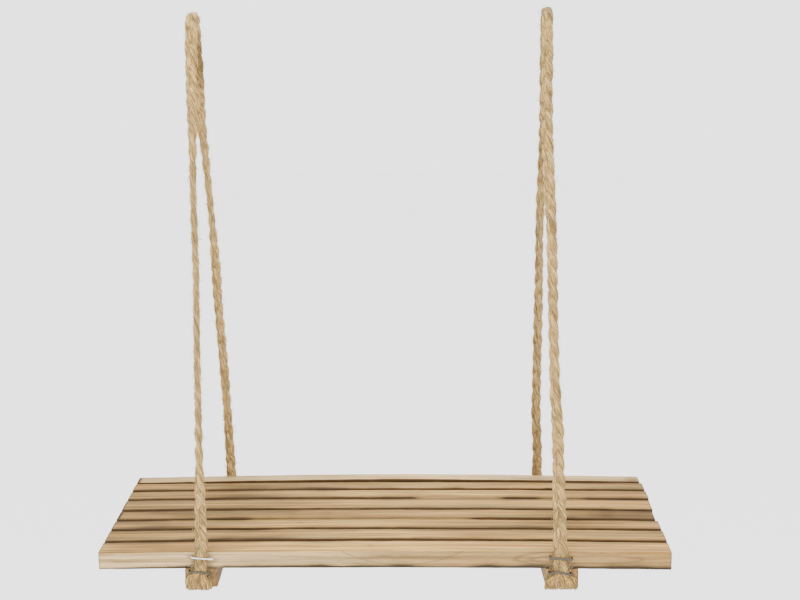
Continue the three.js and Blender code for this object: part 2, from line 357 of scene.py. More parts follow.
ropePlan = {
    "hangHeight": 536,  # hook line to the slats' top
    "bendRadius": 13.8,  # of the rope's own middle over the hook
    "footDepth": 120.55,  # how far in front of the middle, and behind it, the ropes meet the board
    "battenFoot": 574.3,  # hook line to where the tail turns in under the batten
    "cornerRadius": 3.05,
    "tailEnds": {"front": 1.96, "back": 7.96},  # Y of the cut ends
    "pointCounts": {"bend": 24, "leg": 300, "foot": 21, "corner": 9, "tail": 60},
    "step": 1.6,  # along the rope, between two rings of points
    "plaitLength": 58,  # along the rope, for one strand to come back to its place
    "width": 13.4,
    "thickness": 6.6,
    "unevenness": 0.05,  # share of the width and of the thickness
    # how far along the rope the random changes are apart
    "waves": {"twist": 45, "width": 17, "thickness": 23, "crossing": 60, "strand": 21, "surface": 9},
    "crossingStray": 5,
    "surfaceStray": 0.05,
    "strandWidth": 7.2,
    "strandThickness": 5.0,
    "strandUnevenness": 0.06,
    "strandFan": 0.22,  # share that a strand widens by where the rope opens out
    "roundedSway": 0.7,  # below 1, a strand stays longer at the rope's edges
    "lobes": 9,
    "lobeDepth": 0.13,
    "pointsAround": 28,
    "layLength": 52,  # for one turn of the yarns in a strand
    "tailThickness": 5.0,
    "tailThinner": 0.6,  # a strand than the rope, where they lie side by side
    "fanWidth": 23,
    "underWidth": 17.5,
    "bulge": 1.5,  # thicker where it bends over the hook
    "backSlimmer": 1.2,  # the back legs, and the rope under an upper staple
    "stapleDrop": 541.2,
    "stapleReach": 4,
    "twistStart": 22,  # below the hook line
    "twistEnd": 542,
    "twistBlur": 12,  # rings to each side
    "twistStray": 7,  # degrees
    # how dark the painted shade is between two strands or yarns
    "paintedShades": {"lobe": 0.25, "buried": 0.55, "fan": 0.15, "board": 0.12},
    # where something sets in, from and to, below the hook line
    "spans": {
        "lift": (-5, 60),
        "bulge": (-12, 20),
        "top": (0, 40),
        "backLeg": (60, 200),
        "board": (430, 525),
        "held": (512, 530),
        "slim": (527, 534),
        "fan": (559, 568),
        "edge": (569, 575),
        "shadeStart": (-2, 12),
        "shadeEnd": (40, 70),
        # where the painted shade on the back leg below the hook sets in
        "dull": (60, 110),
        "boardShade": (470, 500),
    },
    "edgeDepths": (96, 108),  # in front of the middle, where the rope goes round the batten's edge
    "underDepths": (113, 98),  # from the middle, where the tail narrows under the batten
    "cordSize": 13,
    "fanSize": 17,  # where it fans out under the staples
    "topCut": -23,  # where the piece over the hook gives way to the legs
    "swingSpan": (14, -8),  # the stretch over the hook that blendDown is given for the shelf's swing
    "swaySpan": (-24, -48),  # the stretch of a leg that blendDown is given for its sway
    "footSpan": (-522, -540),  # and the stretch at the board
}

# The line of each leg strays from a straight one: (below the hook line, to the right).
# Its width turns away from the front: (share of the leg, degrees).
ropes = {
    "left": {
        "top": -190.5,
        "lift": 1.3,  # at the hook
        "looseReach": 13.5,
        "fringe": 0.7,
        "pressed": 0.6,  # how much thinner it is round the batten's lower edge
        "shaded": 0.75,  # the back leg near the hook
        "backLegShade": 0.0,  # painted shade on the rest of the back leg
        "topWidth": -0.4,  # added over the hook
        "footWidth": -0.4,  # and in front of the board
        "legEnd": -496,  # Z where the legs end
        "footTop": -496,  # and the feet begin, which bend at the board
        "slimmer": 0.0,  # share that a leg's end is slimmer by
        "openPivot": False,
        "seed": 3,
        "front": {
            "foot": -190.5,
            "twist": [(0, 0), (0.05, 8), (0.18, 55), (0.28, 90), (0.55, 92), (0.7, 80), (0.84, 56),
                      (0.92, 20), (0.97, 0), (1, 0)],
            "strays": [(-20, -3.0), (60, -3.1), (165, -3.1), (205, -2.1), (250, -1.1), (330, -1.2),
                       (400, -0.7), (450, -0.2), (491, 0.3), (527, 0.7), (545, 0.2), (558, -1.2),
                       (566, -3.8), (600, -3.0)],
        },
        "back": {
            "foot": -190.5,
            "twist": [(0, 0), (0.08, 15), (0.22, 84), (0.38, 80), (0.48, 50), (0.9, 48), (0.975, 35),
                      (1, 10)],
            "strays": [(-20, -3.0), (70, -4.2), (100, -4.0), (130, -2.0), (200, 0), (270, 1.2),
                       (300, 0.6), (400, 2.3), (450, 2.4), (530, 2.0), (600, 0)],
        },
    },
    "right": {
        "top": 180,
        "lift": -0.4,
        "looseReach": 16.5,
        "fringe": 0.25,
        "pressed": 1.0,
        "shaded": 0.15,
        "backLegShade": 0.25,
        "topWidth": -2.2,
        "footWidth": 1.4,
        "legEnd": -535,
        "footTop": -529,
        "slimmer": 0.2,
        "openPivot": True,  # the legs lean on the feet, which ride on the shelf
        "seed": 8,
        "front": {
            "foot": 185,
            "twist": [(0, 20), (0.08, 40), (0.16, 30), (0.35, 52), (0.62, 62), (0.7, 45), (0.77, 25),
                      (0.84, 44), (0.92, 22), (1, 0)],
            "strays": [(-20, -4.0), (50, -5.6), (100, -6.6), (150, -5.8), (205, -3.6), (320, -3.3),
                       (365, -2.7), (410, -0.6), (460, -0.5), (530, 0.3), (552, 0.6), (566, 1.4),
                       (600, 1.4)],
        },
        "back": {
            "foot": 180,
            "twist": [(0, 10), (0.2, 40), (0.45, 56), (0.6, 48), (0.8, 35), (0.93, 32), (1, 8)],
            "strays": [(-20, -4.0), (75, -2.6), (130, -3.3), (225, -5.2), (300, -4.2), (450, -4.0),
                       (480, -2.4), (505, -1.1), (536, -0.9), (600, 0)],
        },
    },
}


def setIn(plan, name, drop):  # 0 before one of the plan's spans, 1 after it
    return smoothStep(drop, *plan["spans"][name])


def halfRoute(plan, rope, face):  # from the top of the bend to the tail's cut end
    way = -1 if face == "front" else 1
    leg = rope[face]
    counts = plan["pointCounts"]
    reach = math.hypot(plan["footDepth"], plan["hangHeight"])
    leave = math.atan2(plan["footDepth"], plan["hangHeight"]) + math.acos(plan["bendRadius"] / reach)
    angles = np.linspace(math.pi, leave, counts["bend"])
    bend = np.stack([way * np.sin(angles), -np.cos(angles)], axis=1) * plan["bendRadius"]
    foot = np.array([way * plan["footDepth"], -plan["hangHeight"]])
    line = bend[-1] + (foot - bend[-1]) * np.linspace(0, 1, counts["leg"])[1:, None]
    heights = np.linspace(-plan["hangHeight"], -plan["battenFoot"], counts["foot"])[1:]
    down = np.stack([np.full(len(heights), foot[0]), heights], axis=1)
    turn = np.linspace(0, math.pi / 2, counts["corner"])[1:]
    corner = np.stack([np.cos(turn) * way, -np.sin(turn)], axis=1) * plan["cornerRadius"]
    corner += np.array([way * (plan["footDepth"] - plan["cornerRadius"]), -plan["battenFoot"]])
    inwards = np.linspace(corner[-1][0], plan["tailEnds"][face], counts["tail"])[1:]
    under = np.stack([inwards, np.full(len(inwards), corner[-1][1])], axis=1)
    flat = np.concatenate([bend, line, down, corner, under])
    drop = -flat[:, 1]
    share = np.clip((drop + bend[-1][1]) / (plan["hangHeight"] + bend[-1][1]), 0, 1)
    share[: len(bend)] = 0
    share[len(bend) + len(line):] = 1
    x = rope["top"] + (leg["foot"] - rope["top"]) * share
    x = x + profile(drop, leg["strays"])
    flat[:, 1] += rope["lift"] * (1 - setIn(plan, "lift", drop))
    return np.column_stack([x, flat])


def pressedShare(plan, line):  # 1 round the front lower edge of the batten
    return smoothStep(-line[:, 1], *plan["edgeDepths"]) * setIn(plan, "edge", -line[:, 2])


def ropeRoute(plan, rope):  # the whole rope, from its front tail's end to its back tail's end
    front = halfRoute(plan, rope, "front")
    back = halfRoute(plan, rope, "back")
    points = np.concatenate([front[::-1], back[1:]])
    length = np.concatenate([[0], np.cumsum(np.linalg.norm(np.diff(points, axis=0), axis=1))])
    along = np.arange(0, length[-1], plan["step"])
    line = np.stack([np.interp(along, length, points[:, i]) for i in range(3)], axis=1)
    blurred = line.copy()
    for _ in range(3):
        blurred[1:-1] = (blurred[:-2] + 2 * blurred[1:-1] + blurred[2:]) / 4
    tight = np.abs(line[:, 2] + plan["battenFoot"]) < 3 * plan["cornerRadius"] - 0.15  # under the batten
    line = np.where(tight[:, None], line, blurred)
    line[:, 2] += 1.5 * rope["pressed"] * pressedShare(plan, line)
    return along, line


def ropeTwist(plan, rope, line, inFront):
    start, blur = plan["twistStart"], plan["twistBlur"]
    drop = -line[:, 2]
    share = np.clip((drop - start) / (plan["hangHeight"] - start), 0, 1)
    twist = np.where(inFront, *(profile(share, rope[face]["twist"]) for face in ("front", "back")))
    twist = np.where(drop > plan["twistEnd"], 0, twist)
    window = np.hanning(2 * blur + 3)
    soft = np.convolve(np.pad(twist, blur, mode="edge"), window[1:-1] / window.sum(), mode="valid")
    return np.radians(soft), share


def ropeShape(plan, rope, along, line):
    seed, uneven, waves = rope["seed"], plan["unevenness"], plan["waves"]
    ahead = unit(np.gradient(line, axis=0))
    across = unit(np.array([1.0, 0, 0]) - ahead * ahead[:, :1])
    out = np.cross(across, ahead)
    inFront = np.arange(len(line)) < np.argmax(line[:, 2])
    twist, share = ropeTwist(plan, rope, line, inFront)
    stray = math.radians(plan["twistStray"]) * wander(along, waves["twist"], seed)
    twist = twist + stray * (share > 0) * (share < 1)
    acrossTwisted = across * np.cos(twist)[:, None] + out * np.sin(twist)[:, None]
    outTwisted = out * np.cos(twist)[:, None] - across * np.sin(twist)[:, None]
    drop = -line[:, 2]
    outer, inner = plan["underDepths"]
    under = smoothStep(-np.abs(line[:, 1]), -outer, -inner) * (drop > plan["battenFoot"])
    fan, held = setIn(plan, "fan", drop), setIn(plan, "held", drop)
    width = plan["width"] * (1 + uneven * wander(along, waves["width"], seed + 1))
    width = width + rope["footWidth"] * setIn(plan, "board", drop) * inFront
    width = width - plan["backSlimmer"] * setIn(plan, "backLeg", drop) * ~inFront
    width = width - plan["backSlimmer"] * hump(drop, plan["stapleDrop"], plan["stapleReach"])
    width = width + rope["topWidth"] * (1 - setIn(plan, "top", drop))
    opened = plan["fanWidth"] + (plan["underWidth"] - plan["fanWidth"]) * under
    width = averaged(width * (1 - fan) + fan * opened, 4)
    thickness = plan["thickness"] * (1 + uneven * wander(along, waves["thickness"], seed + 2))
    thickness = thickness + plan["bulge"] * (1 - setIn(plan, "bulge", drop))
    thickness = thickness * (1 - held) + plan["tailThickness"] * held
    thickness = thickness * (1 - 0.5 * rope["pressed"] * pressedShare(plan, line))
    return {
        "across": acrossTwisted, "out": outTwisted, "width": width, "thickness": thickness,
        "fan": fan, "drop": drop, "inFront": inFront,
    }


def strandLines(plan, rope, along, line, shape):
    seed, waves, fan = rope["seed"], plan["waves"], shape["fan"]
    phase = along + plan["crossingStray"] * wander(along, waves["crossing"], seed + 3)
    turns = [-2 * math.pi * (phase / plan["plaitLength"] + k / 3) for k in range(3)]
    sway = [np.sign(np.sin(t)) * np.abs(np.sin(t)) ** plan["roundedSway"] for t in turns]
    sway = np.stack([averaged(s, 3) for s in sway])
    # past the lower staples the strands lie side by side, in the order in which they come
    frontStart = np.argmax(fan < 0.5)
    backStart = len(fan) - 1 - np.argmax(fan[::-1] < 0.5)
    rank = np.zeros((3, len(along)))
    for span, at in ((slice(0, frontStart), frontStart), (slice(backStart, None), backStart)):
        for place, k in enumerate(np.argsort(sway[:, at])):
            rank[k, span] = place - 1
    lines = []
    for k in range(3):
        stray = plan["strandUnevenness"] * wander(along, waves["strand"], seed + 10 + k)
        width = plan["strandWidth"] * (1 + stray) * (1 + plan["strandFan"] * fan)
        thickness = plan["strandThickness"] * shape["thickness"] / plan["thickness"]
        thickness = thickness * (1 - fan) + (shape["thickness"] - plan["tailThinner"]) * fan
        above = np.sin(2 * turns[k]) * (1 - fan)
        aside = (shape["width"] - width) / 2 * (sway[k] * (1 - fan) + rank[k] * fan)
        raised = (shape["thickness"] - thickness) / 2 * above
        middle = line + shape["across"] * aside[:, None] + shape["out"] * raised[:, None]
        lines.append({"middle": middle, "width": width, "thickness": thickness, "above": above})
    return lines


def strandRings(plan, rope, along, strand, shape, k):
    middle, seed, count = strand["middle"], rope["seed"], plan["pointsAround"]
    ahead = unit(np.gradient(middle, axis=0))
    out = unit(shape["out"] - ahead * np.sum(ahead * shape["out"], axis=1, keepdims=True))
    across = np.cross(ahead, out)
    start = 2 * math.pi * np.arange(count) / count
    angle = start[None, :] + 2 * math.pi * along[:, None] / plan["layLength"]
    lobe = np.cos(plan["lobes"] * start + k)[None, :]
    wave = plan["waves"]["surface"]
    rough = np.stack([wander(along, wave, 100 * k + j + seed) for j in range(count)], axis=1)
    swell = 1 + plan["lobeDepth"] * lobe + plan["surfaceStray"] * rough
    wide = strand["width"][:, None] / 2 * np.cos(angle) * swell
    high = strand["thickness"][:, None] / 2 * np.sin(angle) * swell
    rings = middle[:, None] + across[:, None] * wide[..., None] + out[:, None] * high[..., None]
    radius = plan["strandWidth"] / 2
    flow = np.empty(rings.shape)  # each point's place in the yarns, for their colour
    flow[..., 0] = radius * np.cos(start) + 20 * k + 90 * seed  # no two strands have the same
    flow[..., 1] = radius * np.sin(start)
    flow[..., 2] = along[:, None]
    drop, fan, behind = shape["drop"], shape["fan"], ~shape["inFront"]
    depths = plan["paintedShades"]
    # painted shade: darker between the yarns' lobes and where a strand runs under another
    buried = 0.5 - 0.5 * strand["above"][:, None] * np.sin(angle)
    valley = depths["lobe"] * (0.5 - 0.5 * lobe) + depths["buried"] * buried ** 2
    hidden = behind * setIn(plan, "shadeStart", drop) * (1 - setIn(plan, "shadeEnd", drop))
    evenly = depths["fan"] * fan + rope["shaded"] * hidden  # painted shade in the fan under the loose yarns, and in the shadow of the front leg
    # painted shade on the back leg
    evenly = evenly + rope["backLegShade"] * (behind * setIn(plan, "dull", drop))
    evenly = evenly + depths["board"] * setIn(plan, "boardShade", drop) * (1 - fan)
    valley = valley + evenly[:, None]
    return rings, flow, np.clip(valley, 0, 1)


def threads(bag, lines, thick, sides, flows, valley):  # thin round yarns, each along its points
    ahead = unit(np.gradient(lines, axis=1))
    sideways = unit(np.cross(ahead, np.array([0.31, 0.47, 0.35])))  # any axis that no yarn runs along
    upright = np.cross(ahead, sideways)
    corner = 2 * math.pi * np.arange(sides) / sides
    turned = sideways[:, :, None] * np.cos(corner)[:, None] + upright[:, :, None] * np.sin(corner)[:, None]
    points = lines[:, :, None] + thick[:, :, None, None] * turned
    flow = np.zeros(points.shape)
    flow[..., 0] = flows[:, None, None] + thick.mean() * np.cos(corner)
    flow[..., 1] = thick.mean() * np.sin(corner)
    steps = np.linalg.norm(np.diff(lines, axis=1), axis=2)
    flow[:, 1:, :, 2] = np.cumsum(steps, axis=1)[:, :, None]
    addRings(bag, points, yarn=flow, valley=np.reshape(valley, (-1, 1, 1)))


hairPlan = {
    "perMillimetre": 6,  # of the rope
    "perMillimetreAtFeet": 9,
    "downTo": 560,  # below the hook line
    "lengths": (2.5, 9),
    "radii": (0.06, 0.13),
    "tip": 0.4,  # share of its radius that a hair ends with
    "sides": 3,
    "steps": 5,  # along a hair
    "hugging": 0.6,  # share of the hairs that lie along the strands
    "coarse": 0.3,  # share of thick ones
    "rises": {"hugging": 0.16, "free": 1.0},
    "swelled": {"hugging": (1.25, 2.4), "free": (1, 1.9)},  # fine and coarse, times their radius
    "lifts": (0.1, 1.0),
    "curl": 0.6,
    "stray": 0.14,
    "reach": 9.8,  # no hair ends further from the rope's middle
    "sunk": 0.1,  # its root in the strand
    # the most painted shade that a hair gets, chosen at random
    "darkest": 0.9,
}


def nearestPoints(line, points):  # in batches, which need less memory
    batches = np.array_split(points, 12)
    picks = [np.argmin(((some[:, None] - line) ** 2).sum(axis=2), axis=1) for some in batches]
    return line[np.concatenate(picks)]


def hairPaths(plan, chance, starts, ways, lifts, lengths, line):
    size = (len(starts), 1)
    heading = unit(ways + lifts * chance.uniform(*plan["lifts"], size))
    bendAxis = unit(chance.normal(size=starts.shape))
    bending = chance.uniform(-plan["curl"], plan["curl"], size)
    path = [starts]
    for _ in range(plan["steps"]):
        stray = plan["stray"] * chance.normal(size=starts.shape)
        heading = unit(heading + np.cross(bendAxis, heading) * bending + stray)
        path.append(path[-1] + heading * lengths[:, None] / plan["steps"])
    path = np.stack(path, axis=1)
    near = nearestPoints(line, path.reshape(-1, 3)).reshape(path.shape)
    away = np.linalg.norm(path - near, axis=2, keepdims=True)
    return near + (path - near) * np.minimum(1, plan["reach"] / np.maximum(away, plan["reach"] / 2))


def addHairs(plan, bag, along, line, rings, cut, seed, density):
    chance = np.random.default_rng(seed)
    span = np.flatnonzero(cut)[1:-2]
    wanted = int(plan[density] * (along[span[-1]] - along[span[0]]))
    at = chance.choice(span, wanted)
    stack = np.stack(rings)
    strand = chance.integers(0, len(rings), wanted)
    around = chance.integers(0, stack.shape[2], wanted)
    starts = stack[strand, at, around]
    ways = unit(stack[strand, at + 1, around] - starts) * chance.choice([-1, 1], (wanted, 1))
    lifts = unit(starts - stack[strand, at].mean(axis=1))
    lengths = chance.uniform(*plan["lengths"], wanted)
    thick = chance.uniform(*plan["radii"], wanted)
    hugging = chance.random(wanted) < plan["hugging"]
    coarse = chance.random(wanted) < plan["coarse"]
    rise = np.where(hugging, plan["rises"]["hugging"], plan["rises"]["free"])[:, None]
    swelled = [np.where(coarse, thickest, fine) for fine, thickest in plan["swelled"].values()]
    thick = thick * np.where(hugging, *swelled)
    chance = np.random.default_rng(seed + 1)
    paths = hairPaths(plan, chance, starts - lifts * plan["sunk"], ways, lifts * rise, lengths, line)
    radii = thick[:, None] * np.linspace(1, plan["tip"], plan["steps"] + 1)
    flows = chance.uniform(0, 400, wanted)
    threads(bag, paths, radii, plan["sides"], flows, plan["darkest"] * chance.random(wanted) ** 2)


yarnPlan = {  # cut yarns over the batten's end and in under it
    "count": 280,  # at each foot
    "from": 557,  # below the hook line
    "seeds": {"front": 90, "back": 95},
    "radii": (0.18, 0.5),
    "crowding": 0.6,  # below 1, more of them lie near the fan's edges
    "meanders": (0.5, 1.4),
    "meanderLengths": (3, 9),
    "startWidth": 0.75,  # share of the rope's own
    "spreadSpan": (0, 11),  # along a yarn
    "gatherSpan": (26, 40),
    "edgeSpan": (-2.5, 1),  # from the rope's edge, where the yarns come to lie on the wood
    "sunk": 0.3,
    "above": (0.6, 2.6),  # the wood
    "whole": 0.35,  # share of the yarns that run in to the cut end
    "cuts": (15.5, 19.5),  # along a yarn, where the others end
    "fringes": (0.3, 1.5),
    "frays": (0.3, 1.2),
    # the most painted shade that a loose yarn gets, chosen at random
    "darkest": 1.6,
}


def looseYarns(plan, rope, along, line, shape, face, underWidth):
    bag = newBag()
    chance = np.random.default_rng(rope["seed"] + plan["seeds"][face])
    inFace = shape["inFront"] if face == "front" else ~shape["inFront"]
    places = np.flatnonzero((shape["drop"] > plan["from"]) & inFace)
    if face == "front":
        places = places[::-1]
    middle, out, across = line[places], shape["out"][places], shape["across"][places]
    run = np.abs(along[places] - along[places[0]])
    halfWidth = shape["width"][places] / 2
    underneath = shape["thickness"][places] / 2
    reach = rope["looseReach"]
    lead = smoothStep(run, *plan["spreadSpan"])
    spread = halfWidth * plan["startWidth"] * (1 - lead) + reach * lead
    spread = spread - (reach - underWidth / 2 - 1) * smoothStep(run, *plan["gatherSpan"])
    for n in range(plan["count"]):
        lane = chance.uniform(-1, 1)
        lane = math.copysign(abs(lane) ** plan["crowding"], lane)
        curl = int(chance.integers(1 << 30))
        meander = chance.uniform(*plan["meanders"])
        meander = meander * wander(run, chance.uniform(*plan["meanderLengths"]), curl)
        side = lane * spread + meander * np.minimum(run / 6, 1)
        onWood = smoothStep(np.abs(side) - halfWidth, *plan["edgeSpan"])
        height = (underneath - plan["sunk"] + chance.uniform(-0.5, 0.5)) * (1 - onWood)
        height = height + (chance.uniform(*plan["above"]) - underneath) * onWood
        height = height + 0.35 * wander(run, 5, curl + 1)
        points = middle + across * side[:, None] + out * height[:, None]
        whole = chance.random() < plan["whole"]
        stop = len(points) if whole else int(np.searchsorted(run, chance.uniform(*plan["cuts"])))
        points = points[:stop]
        if stop == len(middle):  # frayed beyond the cut
            beyond = unit(middle[-1] - middle[-4]) + 0.25 * chance.normal(size=3) * np.array([1, 1, 0.3])
            more = beyond * chance.uniform(*plan["frays"]) * np.array([[1.0], [2.0]])
        else:  # cut yarns end in a fringe below the batten
            aside, inwards = chance.uniform(-0.7, 0.7), chance.uniform(-0.3, 0.3)
            down = -chance.uniform(*plan["fringes"]) * rope["fringe"]
            more = np.array([[aside, inwards, down]]) * np.array([[0.6], [1.3], [2.0]])
        points = np.concatenate([points, points[-1] + more])
        radii = chance.uniform(*plan["radii"]) * np.linspace(1, 0.7, len(points))
        dark = plan["darkest"] * chance.random() ** 2.2
        threads(bag, points[None], radii[None], 5, np.array([n * 7.3]), dark)
    return bag


strayPlan = {  # curled fibres on the wood, round the front staples
    "count": 150,  # at each foot
    "from": 538,  # below the hook line, clear of the leg, which moves
    "to": 572,
    "sideways": (4.5, 7.5),  # from the rope's middle
    "steps": (6, 15),  # of a millimetre each
    "turn": 0.5,
    "stray": 0.35,
    "boardFront": -118,  # Y of the wood
    "off": (0.6, 3.2),  # from the wood, where a fibre starts
    "radii": (0.09, 0.2),
    # painted shade on the fibres
    "dark": 0.1,
}


def strayFibres(plan, rope):
    bag = newBag()
    chance = np.random.default_rng(rope["seed"] + 200)
    foot, reach, top = rope["front"]["foot"], rope["looseReach"], -plan["from"]
    for n in range(plan["count"]):
        side = chance.choice([-1, 1])
        x = side * chance.uniform(*plan["sideways"])
        z = -chance.uniform(plan["from"], plan["to"])
        heading = chance.uniform(-1.2, 1.2) + (0 if side > 0 else math.pi)
        turn = chance.uniform(-plan["turn"], plan["turn"])
        points = []
        steps = int(chance.integers(*plan["steps"]))
        for _ in range(steps):
            points.append((x, z))
            x += math.cos(heading)
            z += math.sin(heading)
            heading += turn + chance.uniform(-plan["stray"], plan["stray"])
            if abs(x) > reach + 1:
                heading += math.pi / 3
                x = math.copysign(reach + 0.9, x)
            if z > top:
                heading = -heading
                z = top - 0.5
        points = np.array(points)
        off = 0.4 + chance.uniform(*plan["off"]) * np.linspace(1, 0.25, steps)
        fibre = np.column_stack([foot + points[:, 0], plan["boardFront"] - off, points[:, 1]])
        radii = chance.uniform(*plan["radii"]) * np.linspace(1, 0.6, steps)
        threads(bag, fibre[None], radii[None], 4, np.array([13.1 * n]), plan["dark"])
    return bag


def cordPath(line, cut, spacing=6):
    places = np.flatnonzero(cut)
    picks = np.unique(np.append(places[::spacing], places[-1]))
    return line[picks] * mm


def declareRope(path, size):
    tuple(path[0])
    float(np.sum(np.linalg.norm(np.diff(path, axis=0), axis=1)))
    [tuple(p) for p in path]


def blendDown(piece, upper, lower, x, span):  # bakes the piece's place into its mesh
    start, end = ((x * mm, 0, z * mm) for z in span)
    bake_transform(piece)
    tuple(start)
    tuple(end)


def hangRope(plan, side, rope):
    along, line = ropeRoute(plan, rope)
    shape = ropeShape(plan, rope, along, line)
    strands = strandLines(plan, rope, along, line, shape)
    made = [strandRings(plan, rope, along, s, shape, k) for k, s in enumerate(strands)]
    height, pivot, legs = line[:, 2], rope["top"], f"{side}_legs"

    def plait(name, jute, cut, seed, hairy=None, density="perMillimetre", shrink=None):
        bag = newBag()
        for rings, flow, valley in made:
            cutRings = rings[cut]
            if shrink is not None:
                middle = cutRings.mean(axis=1, keepdims=True)
                cutRings = middle + (cutRings - middle) * shrink[cut][:, None, None]
            addRings(bag, cutRings, yarn=flow[cut], valley=valley[cut])
        hairy = cut if hairy is None else hairy
        addHairs(hairPlan, bag, along, line, [m[0] for m in made], hairy, rope["seed"] + seed, density)
        return bagToObject(bag, side + name, jute)

    bend = height > plan["topCut"]
    piece = plait("PlaitOverHook", juteInFront, bend, 40)
    declareRope(cordPath(line, bend, 3), plan["cordSize"])
    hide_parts(f"{side}_rope_bight", f"{side}_rope_front_neck", f"{side}_rope_back_neck")
    blendDown(piece, "hook_bends", "rope_necks", 0, plan["swingSpan"])
    for face in ("front", "back"):
        title, front = face.capitalize(), face == "front"
        inFace = shape["inFront"] if front else ~shape["inFront"]
        jute = juteInFront if front else juteBehind
        seed, downwards = (0, -1) if front else (10, 1)
        leg = inFace & (height <= plan["topCut"] + plan["step"]) & (height > rope["legEnd"])
        foot = inFace & (height <= rope["footTop"] + plan["step"])
        shrink = 1 - rope["slimmer"] * setIn(plan, "slim", -height) if rope["slimmer"] else None
        piece = plait(title + "PlaitLeg", jute, leg, 50 + seed, shrink=shrink)
        declareRope(cordPath(line, leg)[::downwards], plan["cordSize"])
        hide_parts(f"{side}_rope_{face}_leg")
        blendDown(piece, "rope_necks", legs, pivot, plan["swaySpan"])

        hairy = foot & (height > -hairPlan["downTo"])
        piece = plait(title + "PlaitFoot", jute, foot, 70 + seed, hairy, "perMillimetreAtFeet")
        bag = looseYarns(yarnPlan, rope, along, line, shape, face, plan["underWidth"])
        loose = [bagToObject(bag, f"{side}{title}LooseYarns", juteLoose)]
        if front:
            bag = strayFibres(strayPlan, rope)
            loose.append(bagToObject(bag, f"{side}StrayFibres", juteDusty))
        for yarns in loose:
            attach(yarns, "shelf")
        declareRope(cordPath(line, foot)[::downwards], plan["fanSize"])
        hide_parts(f"{side}_rope_{face}_tail")
        if rope["openPivot"]:
            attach(piece, "shelf")
        else:
            blendDown(piece, legs, "shelf", pivot, plan["footSpan"])
    print(side, "rope laid,", round(float(along[-1])), "mm long")


for side, rope in ropes.items():
    hangRope(ropePlan, side, rope)


# wood

slatLook = {
    "pale": (0.43, 0.27, 0.092),
    "tan": (0.3, 0.182, 0.053),
    "late": (0.14, 0.075, 0.024),
    "rose": (0.4, 0.205, 0.062),
    "grey": (0.22, 0.17, 0.062),
    "yellow": (0.33, 0.225, 0.04),
    "mauve": (0.2, 0.125, 0.058),
    # stain and painted shade: dark on the faces in the gaps between slats and along their edges
    "stain": (0.04, 0.02, 0.0045),
    "frontStainAndShade": (0.034, 0.024, 0.012),  # instead of the stain and painted shade, on the front slat
    "knot": (0.13, 0.06, 0.02),
    "bleached": (0.52, 0.38, 0.2),
    "browned": (0.42, 0.36, 0.29),  # what browning leaves of the colour
    "line": (0.11, 0.07, 0.034),
    "endGrain": (0.7, 0.64, 0.5),
    # what the painted shade on the front slat's face leaves of the colour
    "faceShadeLeft": (0.5, 0.5, 0.5),
    # what is left of the colour, from dark to light places
    "patches": [(0.34, (0.72, 0.69, 0.64)), (0.62, (1.16, 1.14, 1.1))],
    "streaks": [(0.34, (0.55, 0.49, 0.41)), (0.5, (1.0, 1.0, 1.0)), (0.66, (1.2, 1.17, 1.1))],
    "fibres": [(0.3, (0.6, 0.54, 0.46)), (0.52, (1.0, 1.0, 1.0)), (0.75, (1.14, 1.12, 1.08))],
    "pores": [(0.28, (0.5, 0.42, 0.34)), (0.36, (1.0, 1.0, 1.0))],
    # and from the shelf's left end to its right one, painted shade with some real browning
    "agedAndShaded": [(0.0, (0.74, 0.7, 0.62)), (0.2, (0.82, 0.79, 0.72)), (0.5, (1.08, 1.07, 1.04)),
             (0.75, (0.98, 0.95, 0.9)), (1.0, (0.82, 0.77, 0.69))],
    # how strongly each of them shows
    "shares": {"rings": 0.42, "tint": 0.62, "patches": 0.85, "bleached": 0.85, "streaks": 0.85,
               "fibres": 0.65, "pores": 0.7, "line": 0.6},
    "ringSpacing": (2.6, 4.0),
    "roughness": 0.7,
    "relief": 0.0005,  # metres
    "specular": 0.12,
}

battenLook = dict(
    slatLook,
    pale=(0.46, 0.31, 0.145),
    tan=(0.34, 0.22, 0.1),
    late=(0.14, 0.066, 0.02),
    rose=(0.38, 0.22, 0.09),
    grey=(0.2, 0.14, 0.05),
    yellow=(0.31, 0.19, 0.045),
    mauve=(0.22, 0.125, 0.06),
)


woodGrain = {  # waves in a metre along, across and up, then detail and roughness
    "drift": ((1.6, 14.0, 14.0), 2.0, 0.5),
    "ripple": ((9.0, 60.0, 60.0), 2.0, 0.5),
    "fibre": ((14.0, 620.0, 620.0), 4.0, 0.65),
    "broad": ((3.2, 95.0, 80.0), 3.0, 0.55),
    "narrow": ((2.2, 300.0, 240.0), 3.0, 0.6),
    "patch": ((7.0, 45.0, 45.0), 2.0, 0.5),
    "pores": ((110.0, 1500.0, 1500.0), 2.0, 0.5),
    "speck": ((40.0, 260.0, 260.0), 3.0, 0.6),
}


def ellipseLine(tree, axes, figure):  # a cathedral line of the grain on a slat's front face
    x0, z0, a, b, fineness = figure
    x = calc(tree, "DIVIDE", minus(tree, axes["X"], x0 * mm), a * mm)
    z = calc(tree, "DIVIDE", minus(tree, axes["Z"], z0 * mm), b * mm)
    off = times(tree, calc(tree, "ABSOLUTE", minus(tree, distance(tree, x, z), 1.0)), fineness)
    onFront = calc(tree, "LESS_THAN", axes["Y"], -0.1168)
    return times(tree, calc(tree, "SUBTRACT", 1.0, off, True), onFront)


def stainAndShadeShare(tree, speck):  # the edge of the stain and painted shade is ragged
    stain = attribute(tree, "stain")
    ragged = plus(tree, stain, times(tree, minus(tree, speck, 0.5), 0.5))
    return calc(tree, "MULTIPLY", ragged, calc(tree, "MINIMUM", times(tree, stain, 6.0), 1.0), True)


